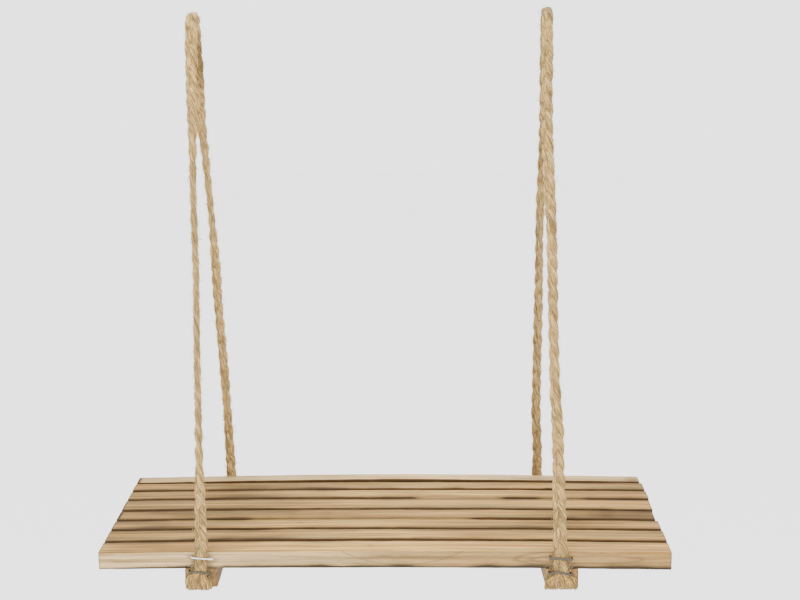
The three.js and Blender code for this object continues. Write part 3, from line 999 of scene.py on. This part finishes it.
def makeWood(name, look, seed, pith, tone=1.0, turned=False, figures=()):
    material, tree, shader = newMaterial(name, look["roughness"])
    chance = np.random.default_rng(seed)
    plain = addNode(tree, "TexCoord").outputs["Object"]
    place = plain
    if turned:
        place = addNode(tree, "Mapping", None, Vector=plain, Rotation=(0, 0, math.pi / 2)).outputs[0]
    shift = tuple(chance.uniform(-3, 3, 3))
    grain = {}
    for key, (stretch, detail, roughness) in woodGrain.items():
        grain[key] = noise(tree, stretched(tree, place, stretch, shift), 1.0, detail, roughness)
    axes = addNode(tree, "SeparateXYZ", None, Vector=place).outputs
    flat = addNode(tree, "SeparateXYZ", None, Vector=plain).outputs
    y = minus(tree, axes["Y"], pith[0] * mm)
    z = minus(tree, axes["Z"], pith[1] * mm)
    y = plus(tree, y, times(tree, minus(tree, grain["drift"], 0.5), 0.05))
    z = plus(tree, z, times(tree, minus(tree, grain["ripple"], 0.5), 0.005))
    spacing = chance.uniform(*look["ringSpacing"]) * mm
    ring = calc(tree, "FRACT", calc(tree, "DIVIDE", distance(tree, y, z), spacing))
    tan, pale, shares = look["tan"], look["pale"], look["shares"]
    rings = ramp(tree, ring, [(0.0, tan), (0.35, pale), (0.74, tan), (0.92, look["late"]), (1.0, tan)])
    base = blendColour(tree, shares["rings"], tan, rings)
    tint = ramp(tree, grain["broad"], [(0.34, look["mauve"]), (0.42, look["grey"]), (0.48, tan),
                                       (0.54, pale), (0.6, look["rose"]), (0.7, look["yellow"])])
    base = blendColour(tree, shares["tint"], base, tint)
    base = tinted(tree, shares["patches"], base, grain["patch"], look["patches"])
    bleached = blendColour(tree, shares["bleached"], base, look["bleached"])
    base = blendColour(tree, attribute(tree, "bleach"), base, bleached)
    base = tinted(tree, shares["streaks"], base, grain["narrow"], look["streaks"])
    base = tinted(tree, shares["fibres"], base, grain["fibre"], look["fibres"])
    base = tinted(tree, shares["pores"], base, grain["pores"], look["pores"])
    base = blendColour(tree, 1.0, base, (tone, 1.03 * tone, 1.13 * tone), "MULTIPLY")
    # painted shade on the front slat's face
    base = darkened(tree, attribute(tree, "dim"), base, look["faceShadeLeft"])
    if not turned:  # the shelf is darker and browner towards its ends: painted shade, with some real browning
        fromLeft = plus(tree, calc(tree, "DIVIDE", flat["X"], 0.6), 0.5)
        base = tinted(tree, 1.0, base, fromLeft, look["agedAndShaded"])
    for figure in figures:
        share = times(tree, ellipseLine(tree, flat, figure), shares["line"])
        base = blendColour(tree, share, base, look["line"])
    base = darkened(tree, attribute(tree, "brown"), base, look["browned"])
    base = darkened(tree, attribute(tree, "endGrain"), base, look["endGrain"])
    base = blendColour(tree, stainAndShadeShare(tree, grain["speck"]), base, look["stain"])
    base = blendColour(tree, attribute(tree, "knot"), base, look["knot"])
    tree.links.new(base, shader.inputs["Base Color"])
    relief = plus(tree, grain["fibre"], times(tree, ring, 0.25))
    addBump(tree, shader, plus(tree, relief, times(tree, grain["narrow"], 0.8)), 0.6, look["relief"])
    shader.inputs["Specular IOR Level"].default_value = look["specular"]
    return material


barPlan = {
    "arcSteps": 4,  # round each long edge
    # places of the points across the flats, and up the sides
    "flats": (0.035, 0.08, 0.15, 0.27, 0.42, 0.58, 0.73, 0.85, 0.92, 0.965),
    "sides": (0.04, 0.1, 0.2, 0.4, 0.6, 0.8, 0.9, 0.96),
    "endRings": (1, 0.985, 0.6, 0.2),  # of an end face, and the stain on them
    "endStain": (0.55, 0.12, 0.05, 0.05),
}


def barOutline(plan, roundTop, roundBottom):
    rows = []  # share across, offset across, share up, offset up

    def arc(cornerX, cornerY, radius, start):
        for angle in start + np.linspace(0, math.pi / 2, plan["arcSteps"] + 1):
            rows.append((cornerX, radius * (math.cos(angle) - (1 if cornerX else -1)),
                         cornerY, radius * (math.sin(angle) - (1 if cornerY else -1))))

    def flat(toRow, shares):
        fromRow = rows[-1]
        for share in shares:
            rows.append(tuple(a + (b - a) * share for a, b in zip(fromRow, toRow)))

    arc(1, 1, roundTop, 0)  # upper back edge, then along the top to the front
    flat((0, roundTop, 1, 0), plan["flats"])
    arc(0, 1, roundTop, math.pi / 2)
    flat((0, 0, 0, roundBottom), plan["sides"])
    arc(0, 0, roundBottom, math.pi)
    flat((1, -roundBottom, 0, 0), plan["flats"])
    arc(1, 0, roundBottom, 1.5 * math.pi)
    flat((1, 0, 1, -roundTop), plan["sides"])
    return np.array(rows).T[:, None, :]


def addBar(plan, bag, rings, **values):  # a bar with end faces of their own
    addRings(bag, rings, capped=False, endGrain=0.0, **values)
    ends = {name: 0.0 for name in values}
    ends["stain"] = np.array(plan["endStain"])[:, None]
    for end in (0, -1):
        ring = rings[end]
        middle = ring.mean(axis=0)
        disc = np.stack([middle + (ring - middle) * s for s in plan["endRings"]])
        addRings(bag, disc if end else disc[:, ::-1], capped=False, endGrain=1.0, **ends)
        bag["caps"].append((bag["count"] - ring.shape[0] + np.arange(ring.shape[0])).tolist())


# slats

slatPlan = {
    "count": 8,
    "stations": 220,  # along a slat
    "endStations": (0.5, 1.1, 2.0),  # and more near its two ends
    "halfLength": 300,
    "roundTop": 1.7,  # radius of the long upper edges
    "roundBottom": 1.2,
    "edgeStray": 0.4,
    "edgeRoughness": 0.22,
    "topStray": 0.12,
    "closing": 1.15,  # what an edge moves by to close a gap
    "bow": 2.3,  # how far the middle rises over the ends
    "backCrown": 1.5,  # more of it on the last slat
    "backBleach": 0.6,  # the last slat is paler and greyer than the others
    "backClean": 0.3,  # how far the stain and painted shade reach in from its front edge, against the others
    "levelPlace": 260,  # where the bow is nothing
    # gaps that close: (gap counted from the front, from x, to x, share closed)
    "closures": [(3, -145, 92, 0.75), (5, 40, 128, 0.95), (5, 182, 222, 0.6)],
    # nicks: (gap, x, length, depth)
    "nicks": [(6, 83, 5, 1.5), (6, 189, 6, 1.8), (1, -167, 7, 1.4)],
    # knots: (slat, x, share of its width, radius)
    "knots": [(5, -32, 0.08, 2.6), (1, -13, 0.5, 2.6), (5, 245, 0.35, 1.8), (3, -92, 0.6, 1.5),
              (7, -214, 0.55, 1.8)],
    # Y and Z of each slat's pith, and how light it is
    "piths": [(-96, -572), (-40, -600), (-60, -580), (-15, -610), (50, -575), (30, -596),
              (96, -578), (84, -604)],
    "tones": [1.4, 1.1, 1.1, 0.86, 1.1, 1.06, 1.04, 1.15],
    # browned stretches: (slat, x, half its length, strength)
    "browned": [(4, 254, 60, 0.85), (3, 205, 45, 0.6), (7, -140, 60, 0.45), (6, -190, 60, 0.5),
                (4, -100, 70, 0.5), (3, -250, 40, 0.4), (5, -270, 45, 0.3), (6, 250, 40, 0.25),
                (2, -140, 60, 0.35), (1, -240, 80, 0.5), (4, -230, 40, 0.5), (8, -60, 45, 0.3),
                (7, -40, 50, 0.25), (1, 250, 70, 0.2)],
    # stain and painted shade along a slat's edges, full on the faces in the gaps: where it begins, strength,
    # least and added reach, and its haze, each with the length of its waves and their seed
    "edges": {
        "front": {"begin": 1.3, "strength": 1, "reach": (2.0, 2.6), "waves": (3, 40),
                  "haze": 0.75, "hazeReach": 8, "hazeWaves": (13, 85)},
        "back": {"begin": 0.9, "strength": 0.95, "reach": (2.1, 1.8), "waves": (9, 36),
                 "haze": 0.45, "hazeReach": 6, "hazeWaves": (23, 70)},
    },
    # hazes of the stain: (slat, x, half length, strength, reach from its front, or if negative its back)
    "hazes": [(2, -217, 28, 0.5, 5), (3, -213, 32, 0.55, 6), (3, -150, 30, 0.45, 5), (4, -228, 32, 0.4, -9),
              (6, -205, 40, 0.3, 7), (7, -165, 25, 0.35, 4), (8, -165, 25, 0.4, 3), (8, 290, 9, 0.6, 30),
              (7, -80, 90, 0.9, -7), (7, 250, 60, 0.75, -6), (7, -250, 50, 0.65, -6)],
    # the dark lower edge of the front slat, partly a charred wane and partly painted shade, and a faint line
    # above it: height, half breadth, strength
    "wane": {"darkest": [(-185, -50), (100, 330)], "least": 0.55, "more": 0.45, "ease": 25,
             "begin": 1.1, "depth": 0.4, "deeper": 1.9, "strength": 2.2, "line": (18.2, 0.7, 0.16)},
    "endSoil": (0.9, 0.7),  # strength and reach of the stain at a slat's ends
    "closedGapFade": 0.75,  # share of the stain and painted gap shade that goes where a gap closes
    # painted shade in the nicks: strength and reach
    "nickShade": (0.8, 3),
    "knotStain": 0.8,
    "knotLength": 1.6,  # times its breadth
    # its front face, from the left to the right end
    "frontBleach": [(-300, 1), (-200, 0.95), (20, 0.35), (120, 0.3), (300, 0.25)],
    # painted shade, darker in the face's middle and at its right
    "frontShade": [(-300, 0), (-200, 0.1), (20, 0.95), (120, 0.9), (300, 0.8)],
    "faceDepth": 0.3,
    # cathedral lines on the front: (x and z of the middle, half width, half height, fineness)
    "figures": [(21, -500, 88, 49.5, 60), (240, -543, 101, 9.5, 14), (212, -544, 58, 3.8, 6)],
}


# the charred wane and painted shade along the front slat's lower edge
def waneAndLowerEdgeShade(wane, x, fromFront, height):
    waxing = wane["least"] + wane["more"] * smoothStep(np.abs(wander(x, 60, 77)), 0.05, 0.6)
    for start, end in wane["darkest"]:
        waxing = np.maximum(waxing, between(x, start, end, 0, wane["ease"]))
    depth = wane["depth"] + wane["deeper"] * waxing ** 2 * (0.7 + 0.5 * wander(x, 22, 91))
    low = np.exp(-np.maximum(height - wane["begin"], 0) / depth[:, None])
    low = np.minimum(wane["strength"] * low * (fromFront < 3), 1) * np.minimum(waxing * 1.25, 1)[:, None]
    middle, breadth, strength = wane["line"]
    return np.maximum(low, strength * hump(height, middle, breadth) * (fromFront < 2))


# painted shade in the gaps and along the slats' edges, with real stains and soil at the ends
def slatStainAndShade(plan, i, x, fromFront, fromBack, height):
    stain = np.zeros(fromFront.shape)
    for name, off, outermost in (("front", fromFront, 1), ("back", fromBack, plan["count"])):
        if i == outermost:
            continue
        edge = plan["edges"][name]
        thicker, hazier = (np.maximum(0, wander(x, scale, seed + i))[:, None]
                           for seed, scale in (edge["waves"], edge["hazeWaves"]))
        cleaner = plan["backClean"] if i == plan["count"] else 1
        reach = cleaner * (edge["reach"][0] + edge["reach"][1] * thicker)
        near = edge["strength"] * np.exp(-np.maximum(off - edge["begin"], 0) / reach)
        haze = edge["haze"] * hazier * np.exp(-off / edge["hazeReach"])
        stain = np.maximum(stain, near + haze)
    for slat, place, half, strength, reach in plan["hazes"]:
        if slat == i:
            off = fromFront if reach > 0 else fromBack
            spread = strength * hump(x, place, half)
            stain = np.maximum(stain, spread[:, None] * np.exp(-off / abs(reach)))
    strength, reach = plan["endSoil"]
    stain = np.maximum(stain, strength * np.exp(-(x[-1] - np.abs(x)) / reach)[:, None])
    for gap, start, end, share in plan["closures"]:
        closedGapFade = plan["closedGapFade"] * share * between(x, start, end, 12, 6)[:, None]
        if gap == i:
            stain = stain * (1 - closedGapFade * (fromBack < fromFront))
        if gap == i - 1:
            stain = stain * (1 - closedGapFade * (fromBack > fromFront))
    if i == 1:
        stain = np.maximum(stain, waneAndLowerEdgeShade(plan["wane"], x, fromFront, height))
    return np.clip(stain, 0, 1)


def slatEdges(plan, i, x, low, high):  # Y of its front and back edge, and how nicked the front one is
    stray, rough = plan["edgeStray"], plan["edgeRoughness"]
    front = low[1] + stray * wander(x, 34, 20 + i) + rough * wander(x, 7, 40 + i)
    back = high[1] + stray * wander(x, 30, 60 + i) + rough * wander(x, 6, 80 + i)
    for gap, start, end, share in plan["closures"]:
        moved = plan["closing"] * share * between(x, start, end, 14, 0)
        if gap == i:
            back = back + moved * (1 + 0.2 * wander(x, 8, 5))
        if gap == i - 1:
            front = front - moved
    nicked = np.zeros_like(x)
    for gap, place, length, depth in plan["nicks"]:
        if gap == i - 1:
            dip = hump(x, place, length) * (1 + 0.4 * wander(x, 3, gap))
            front = front + depth * dip
            nicked = np.maximum(nicked, dip)
    return front, back, nicked


def makeSlat(plan, i):
    low, high = boxOf(f"slat_{i}")
    half, close = plan["halfLength"], np.array(plan["endStations"])
    x = np.linspace(low[0], high[0], plan["stations"])
    x = np.sort(np.concatenate([x, x[0] + close, x[-1] - close]))
    front, back, nicked = slatEdges(plan, i, x, low, high)
    bow = plan["bow"] * ((plan["levelPlace"] / half) ** 2 - (x / half) ** 2)
    top = high[2] + bow + plan["topStray"] * wander(x, 50, 120 + i)
    if i == plan["count"]:
        top = top + plan["backCrown"] * (1 - (x / half) ** 2) ** 2
    bottom = (low[2] + bow)[:, None]
    across, offY, up, offZ = barOutline(barPlan, plan["roundTop"], plan["roundBottom"])
    y = front[:, None] * (1 - across) + back[:, None] * across + offY
    z = bottom * (1 - up) + top[:, None] * up + offZ
    rings = np.stack([np.broadcast_to(x[:, None], y.shape), y, z], axis=-1)
    fromFront, fromBack = y - front[:, None], back[:, None] - y
    stain = slatStainAndShade(plan, i, x, fromFront, fromBack, z - bottom)
    strength, reach = plan["nickShade"]
    stain = np.maximum(stain, strength * nicked[:, None] * np.exp(-fromFront / reach))
    knot, brown = np.zeros(y.shape), np.zeros(x.shape)
    for slat, place, share, radius in plan["knots"]:
        if slat == i:
            middle = low[1] + (high[1] - low[1]) * share
            away = np.hypot((rings[..., 0] - place) / plan["knotLength"], y - middle)
            knot = np.maximum(knot, plan["knotStain"] * hump(away, 0, radius))
    for slat, place, reach, strength in plan["browned"]:
        if slat == i:
            brown = np.maximum(brown, strength * hump(x, place, reach))
    face = fromFront < plan["faceDepth"]
    brown = (brown * (1 + 0.25 * wander(x, 13, 700 + i)))[:, None] * (fromFront > plan["faceDepth"])
    bleach, dim = np.zeros(y.shape), np.zeros(y.shape)
    look, figures = slatLook, ()
    if i == 1:
        bleach, dim = (face * profile(x, plan[name])[:, None] for name in ("frontBleach", "frontShade"))
        look, figures = dict(slatLook, stain=slatLook["frontStainAndShade"]), plan["figures"]
    if i == plan["count"]:
        bleach = bleach + plan["backBleach"]
    values = {"stain": stain, "knot": knot, "bleach": bleach, "brown": brown, "dim": dim}
    bag = newBag()
    addBar(barPlan, bag, rings[:, ::-1], **{name: value[:, ::-1] for name, value in values.items()})
    pith, tone = plan["piths"][i - 1], plan["tones"][i - 1]
    wood = makeWood(f"slatWood{i}", look, 300 + i, pith, tone, figures=figures)
    piece = bagToObject(bag, f"detailedSlat{i}", wood)
    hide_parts(f"slat_{i}")
    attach(piece, "shelf")


for i in range(1, slatPlan["count"] + 1):
    makeSlat(slatPlan, i)
print("slats laid")


# battens

battenPlan = {
    "stations": 60,
    "round": 1.3,
    "skews": {"left": 0.0, "right": -2.5 / 118},  # X for each millimetre of Y
    "middles": {"left": -191.5, "right": 184.5},
    "width": 34,
    "edgeStray": 0.3,
    "rise": 0.8,  # up to the bowed slats
    "pith": (-186, -590),
    "stain": 0.6,  # along its edges
    "stainReach": 0.8,
}


def makeBatten(plan, side):
    low, high = boxOf(f"{side}_batten")
    y = np.linspace(low[1], high[1], plan["stations"])
    middle = plan["middles"][side] + plan["skews"][side] * y
    left = (middle - plan["width"] / 2 + plan["edgeStray"] * wander(y, 25, 500))[:, None]
    right = (middle + plan["width"] / 2 + plan["edgeStray"] * wander(y, 25, 501))[:, None]
    across, offX, up, offZ = barOutline(barPlan, plan["round"], plan["round"])
    x = left * (1 - across) + right * across + offX
    z = low[2] * (1 - up) + (high[2] + plan["rise"]) * up + offZ
    rings = np.stack(np.broadcast_arrays(x, y[:, None], z), axis=-1)
    stain = plan["stain"] * np.exp(-np.minimum(x - left, right - x) / plan["stainReach"])
    bag = newBag()
    addBar(barPlan, bag, rings, stain=stain, knot=0.0, bleach=0.0, brown=0.0, dim=0.0)
    wood = makeWood(f"{side}BattenWood", battenLook, 400 + len(side), plan["pith"], turned=True)
    piece = bagToObject(bag, f"{side}DetailedBatten", wood)
    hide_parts(f"{side}_batten")
    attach(piece, "shelf")


for side in ("left", "right"):
    makeBatten(battenPlan, side)
print("battens laid")


# staples and screws

def makeMetal(name, bright, dull, roughness):
    material, tree, shader = newMaterial(name, roughness, 1.0)
    place = addNode(tree, "TexCoord").outputs["Object"]
    cloud = noise(tree, place, 900.0, 4.0, 0.6)
    tree.links.new(ramp(tree, cloud, [(0.38, dull), (0.62, bright)]), shader.inputs["Base Color"])
    scratches = noise(tree, stretched(tree, place, (200, 3000, 3000)), 1.0, 3.0, 0.6)
    addBump(tree, shader, scratches, 0.25, 0.0001)
    return material


# lit and shaded copies of one staple wire: painted light on the staple that catches it, painted shade on the
# others
litStapleMetal = makeMetal("litStapleWire", srgb(236, 234, 226), srgb(180, 178, 170), 0.32)
shadedStapleMetal = makeMetal("shadedStapleWire", (0.15, 0.135, 0.11), (0.035, 0.03, 0.024), 0.45)
screwMetal = makeMetal("screwMetal", srgb(214, 196, 140), srgb(150, 132, 88), 0.38)

staplePlan = {
    "crown": 24,
    "leg": 18,
    "breadth": 2.3,
    "thickness": 1.4,
    "standOff": 5.1,
    "corner": 1.1,
    "tilt": 4,  # degrees, down to the right
    "squareness": 0.45,  # of the wire: 1 would be an ellipse
    "pointsAround": 12,
    "pointCounts": {"corner": 5, "crown": 13},
    # left and right sag of the crown towards the wood, for the two that were driven in crooked
    "dents": {"right_front_lower": (-0.6, 2.4), "left_front_lower": (-0.2, 0.6)},
    "dentPlace": 0.4,  # share of the half crown, to the left
    "bright": {"left_front_upper": 1.8},  # and its breadth
    "rises": {"upper": 2.3, "lower": 2.7, "under": 0},
    # to the right, and up beyond that
    "shifts": {"left_front_upper": (1.6, 0.6), "left_front_lower": (-1.6, 1.1),
               "right_front_upper": (0.9, 0.3)},
}


def staplePath(plan):  # across and out from the wood
    half, top = plan["crown"] / 2 - plan["thickness"] / 2, plan["standOff"] + plan["thickness"] / 2
    tip, radius = plan["standOff"] + plan["thickness"] - plan["leg"], plan["corner"]
    left = [(-half, tip), (-half, (tip + top) / 2)]
    for angle in np.linspace(math.pi, math.pi / 2, plan["pointCounts"]["corner"]):
        left.append((-half + radius + radius * math.cos(angle), top - radius + radius * math.sin(angle)))
    places = np.linspace(-half + radius, half - radius, plan["pointCounts"]["crown"] + 2)[1:-1]
    return half, np.array(left + [(u, top) for u in places] + [(-u, n) for u, n in reversed(left)])


def stapleRings(plan, dent, breadth):
    half, path = staplePath(plan)
    ahead = unit(np.gradient(path, axis=0))
    normal = np.stack([-ahead[:, 1], ahead[:, 0]], axis=1)
    corner = 2 * math.pi * (np.arange(plan["pointsAround"]) + 0.5) / plan["pointsAround"]
    wire = np.stack([np.sin(corner), np.cos(corner)])
    high, wide = np.sign(wire) * np.abs(wire) ** plan["squareness"]
    high = high * plan["thickness"] / 2
    u = path[:, :1] + normal[:, :1] * high
    n = path[:, 1:] + normal[:, 1:] * high
    sag = profile(path[:, 0], [(-half, dent[0]), (-half * plan["dentPlace"], dent[1]), (half, 0)])
    v = wide * breadth / 2 + (sag * (path[:, 1] > 0))[:, None]
    return np.stack([u, v, n], axis=-1)


def staplePlace(plan, name, low, high):
    _, face, row = name.split("_")
    middle = (low + high) / 2
    if row == "under":
        depth = plan["leg"] - plan["standOff"] - plan["thickness"]
        place = Matrix.Translation((middle[0], middle[1], high[2] - depth))
        return place @ Matrix.Rotation(math.pi, 4, "X")
    way, wood = (1, low[1]) if face == "front" else (-1, high[1])
    wood = wood + way * (plan["standOff"] + plan["thickness"])
    right, up = plan["shifts"].get(name, (0, 0))
    place = Matrix.Translation((middle[0] + right, wood, middle[2] + plan["rises"][row] + up))
    tilt = Matrix.Rotation(way * math.radians(plan["tilt"]), 4, "Y")
    return place @ tilt @ Matrix.Rotation(way * math.pi / 2, 4, "X")


def makeStaple(plan, name):
    rings = stapleRings(plan, plan["dents"].get(name, (0, 0)), plan["bright"].get(name, plan["breadth"]))
    place = staplePlace(plan, name, *boxOf(f"{name}_staple"))
    rings = rings @ np.array(place.to_3x3()).T + np.array(place.translation)
    bag = newBag()
    addRings(bag, rings)
    metal = litStapleMetal if name in plan["bright"] else shadedStapleMetal
    side, face, row = name.split("_")
    title = side + face.capitalize() + row.capitalize() + "WireStaple"
    piece = bagToObject(bag, title, metal)
    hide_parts(f"{name}_staple")
    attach(piece, "shelf")


for side in ("left", "right"):
    for face in ("front", "back"):
        for row in ("upper", "lower", "under"):
            makeStaple(staplePlan, f"{side}_{face}_{row}")
print("staples driven")

screwPlan = {
    "headRadius": 4,
    "headHeight": 2.6,
    "rim": 0.06,  # of the head, rounded
    "proud": 0.25,  # of the batten
    "shankRadius": 1.5,
    "coreRadius": 1.35,
    "threadRadius": 2,
    "crestShare": 0.22,  # of the pitch, to each side of a crest
    "pitch": 2.2,
    "plainPart": 9,  # below the head, without a thread
    "tip": 4,
    "recessReach": 2.3,
    "recessBreadth": 0.62,
    "recessDepth": 1.5,
    "recessMiddle": 0.6,
    "pointsAround": 32,
    "ringCounts": {"recess": 12, "shank": 130},
}


def screwHead(plan, angle, turn):  # radius and height of its rings, from the middle of the recess
    reach, breadth = plan["recessReach"], plan["recessBreadth"]
    radii = np.linspace(0.05, reach + 0.2, plan["ringCounts"]["recess"])
    for radius in np.concatenate([radii, [3.1, 3.8]]):
        u, v = radius * np.cos(angle - turn), radius * np.sin(angle - turn)
        near = np.minimum(np.abs(u), np.abs(v))
        cross = np.maximum(1 - smoothStep(near, breadth - 0.15, breadth + 0.1), radius < plan["recessMiddle"])
        depth = plan["recessDepth"] * smoothStep(reach - radius, -0.15, 0.9)
        yield radius, depth * cross - plan["proud"]
    yield plan["headRadius"] - plan["rim"], plan["rim"] / 2 - plan["proud"]
    yield plan["headRadius"], 0.0


def screwShank(plan, angle, length):
    for height in np.linspace(plan["headHeight"], length, plan["ringCounts"]["shank"]):
        taper = np.clip((length - height) / plan["tip"], 0.03, 1)
        phase = (height / plan["pitch"] - angle / (2 * math.pi)) % 1
        crest = np.clip(1 - np.abs(phase - 0.5) / plan["crestShare"], 0, 1)
        threaded = smoothStep(height, plan["plainPart"], plan["plainPart"] + 2)
        plain = plan["shankRadius"] * (1 - threaded) + plan["coreRadius"] * threaded
        yield (plain + crest * threaded * (plan["threadRadius"] - plan["coreRadius"])) * taper, height


def makeScrew(plan, name):  # a countersunk wood screw, point up
    low, high = boxOf(name)
    middle, around = (low + high) / 2, plan["pointsAround"]
    chance = np.random.default_rng(round(middle[1] * 10) + 5000)
    angle = 2 * math.pi * (np.arange(around) / around + chance.random())
    rings = []
    for part in (screwHead(plan, angle, angle[0]), screwShank(plan, angle, high[2] - low[2])):
        for radius, height in part:
            heights = np.broadcast_to(height, angle.shape)
            rings.append(np.column_stack([radius * np.cos(angle), radius * np.sin(angle), heights]))
    bag = newBag()
    addRings(bag, np.stack(rings) + np.array([middle[0], middle[1], low[2]]))
    side, _, number = name.split("_")
    piece = bagToObject(bag, f"{side}WoodScrew{number}", screwMetal)
    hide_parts(name)
    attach(piece, "shelf")


for side in ("left", "right"):
    for i in range(1, slatPlan["count"] + 1):
        makeScrew(screwPlan, f"{side}_screw_{i}")
print("screws driven")


# floor and light

studioPlan = {
    "floorDrop": 1.9,  # metres below the hook line
    "floorSize": 26,
    "floor": srgb(252, 252, 252),
    "worldStrength": 2.8,
    "aim": (0, 0, -0.35),  # of the lights
    "lights": {
        "key": {"place": (-1.6, -1.9, 1.7), "size": 1.6, "power": 40},
        "fill": {"place": (2.1, -1.6, 0.6), "size": 1.8, "power": 14},
        "top": {"place": (0.1, 0.5, 1.9), "size": 2.2, "power": 22},
    },
}


def makeStudio(plan):
    half = plan["floorSize"] / 2
    mesh = bpy.data.meshes.new("paleFloor")
    corners = [(x * half, y * half, -plan["floorDrop"]) for x, y in ((-1, -1), (1, -1), (1, 1), (-1, 1))]
    mesh.from_pydata(corners, [], [(0, 1, 2, 3)])
    material, _, shader = newMaterial("paleFloor", 0.9)
    shader.inputs["Base Color"].default_value = (*plan["floor"], 1)
    mesh.materials.append(material)
    floor = bpy.data.objects.new("paleFloor", mesh)
    bpy.context.collection.objects.link(floor)
    world = bpy.data.worlds.new("softRoom")
    world.use_nodes = True
    background = world.node_tree.nodes["Background"]
    background.inputs["Color"].default_value = (1, 1, 1, 1)
    background.inputs["Strength"].default_value = plan["worldStrength"]
    bpy.context.scene.world = world
    for name, light in plan["lights"].items():
        data = bpy.data.lights.new(name + "Light", "AREA")
        data.size = light["size"]
        data.energy = light["power"]
        lamp = bpy.data.objects.new(name + "Light", data)
        lamp.location = light["place"]
        aim = Vector(plan["aim"]) - Vector(light["place"])
        lamp.rotation_euler = aim.to_track_quat("-Z", "Y").to_euler()
        bpy.context.collection.objects.link(lamp)


makeStudio(studioPlan)
print("studio lit")
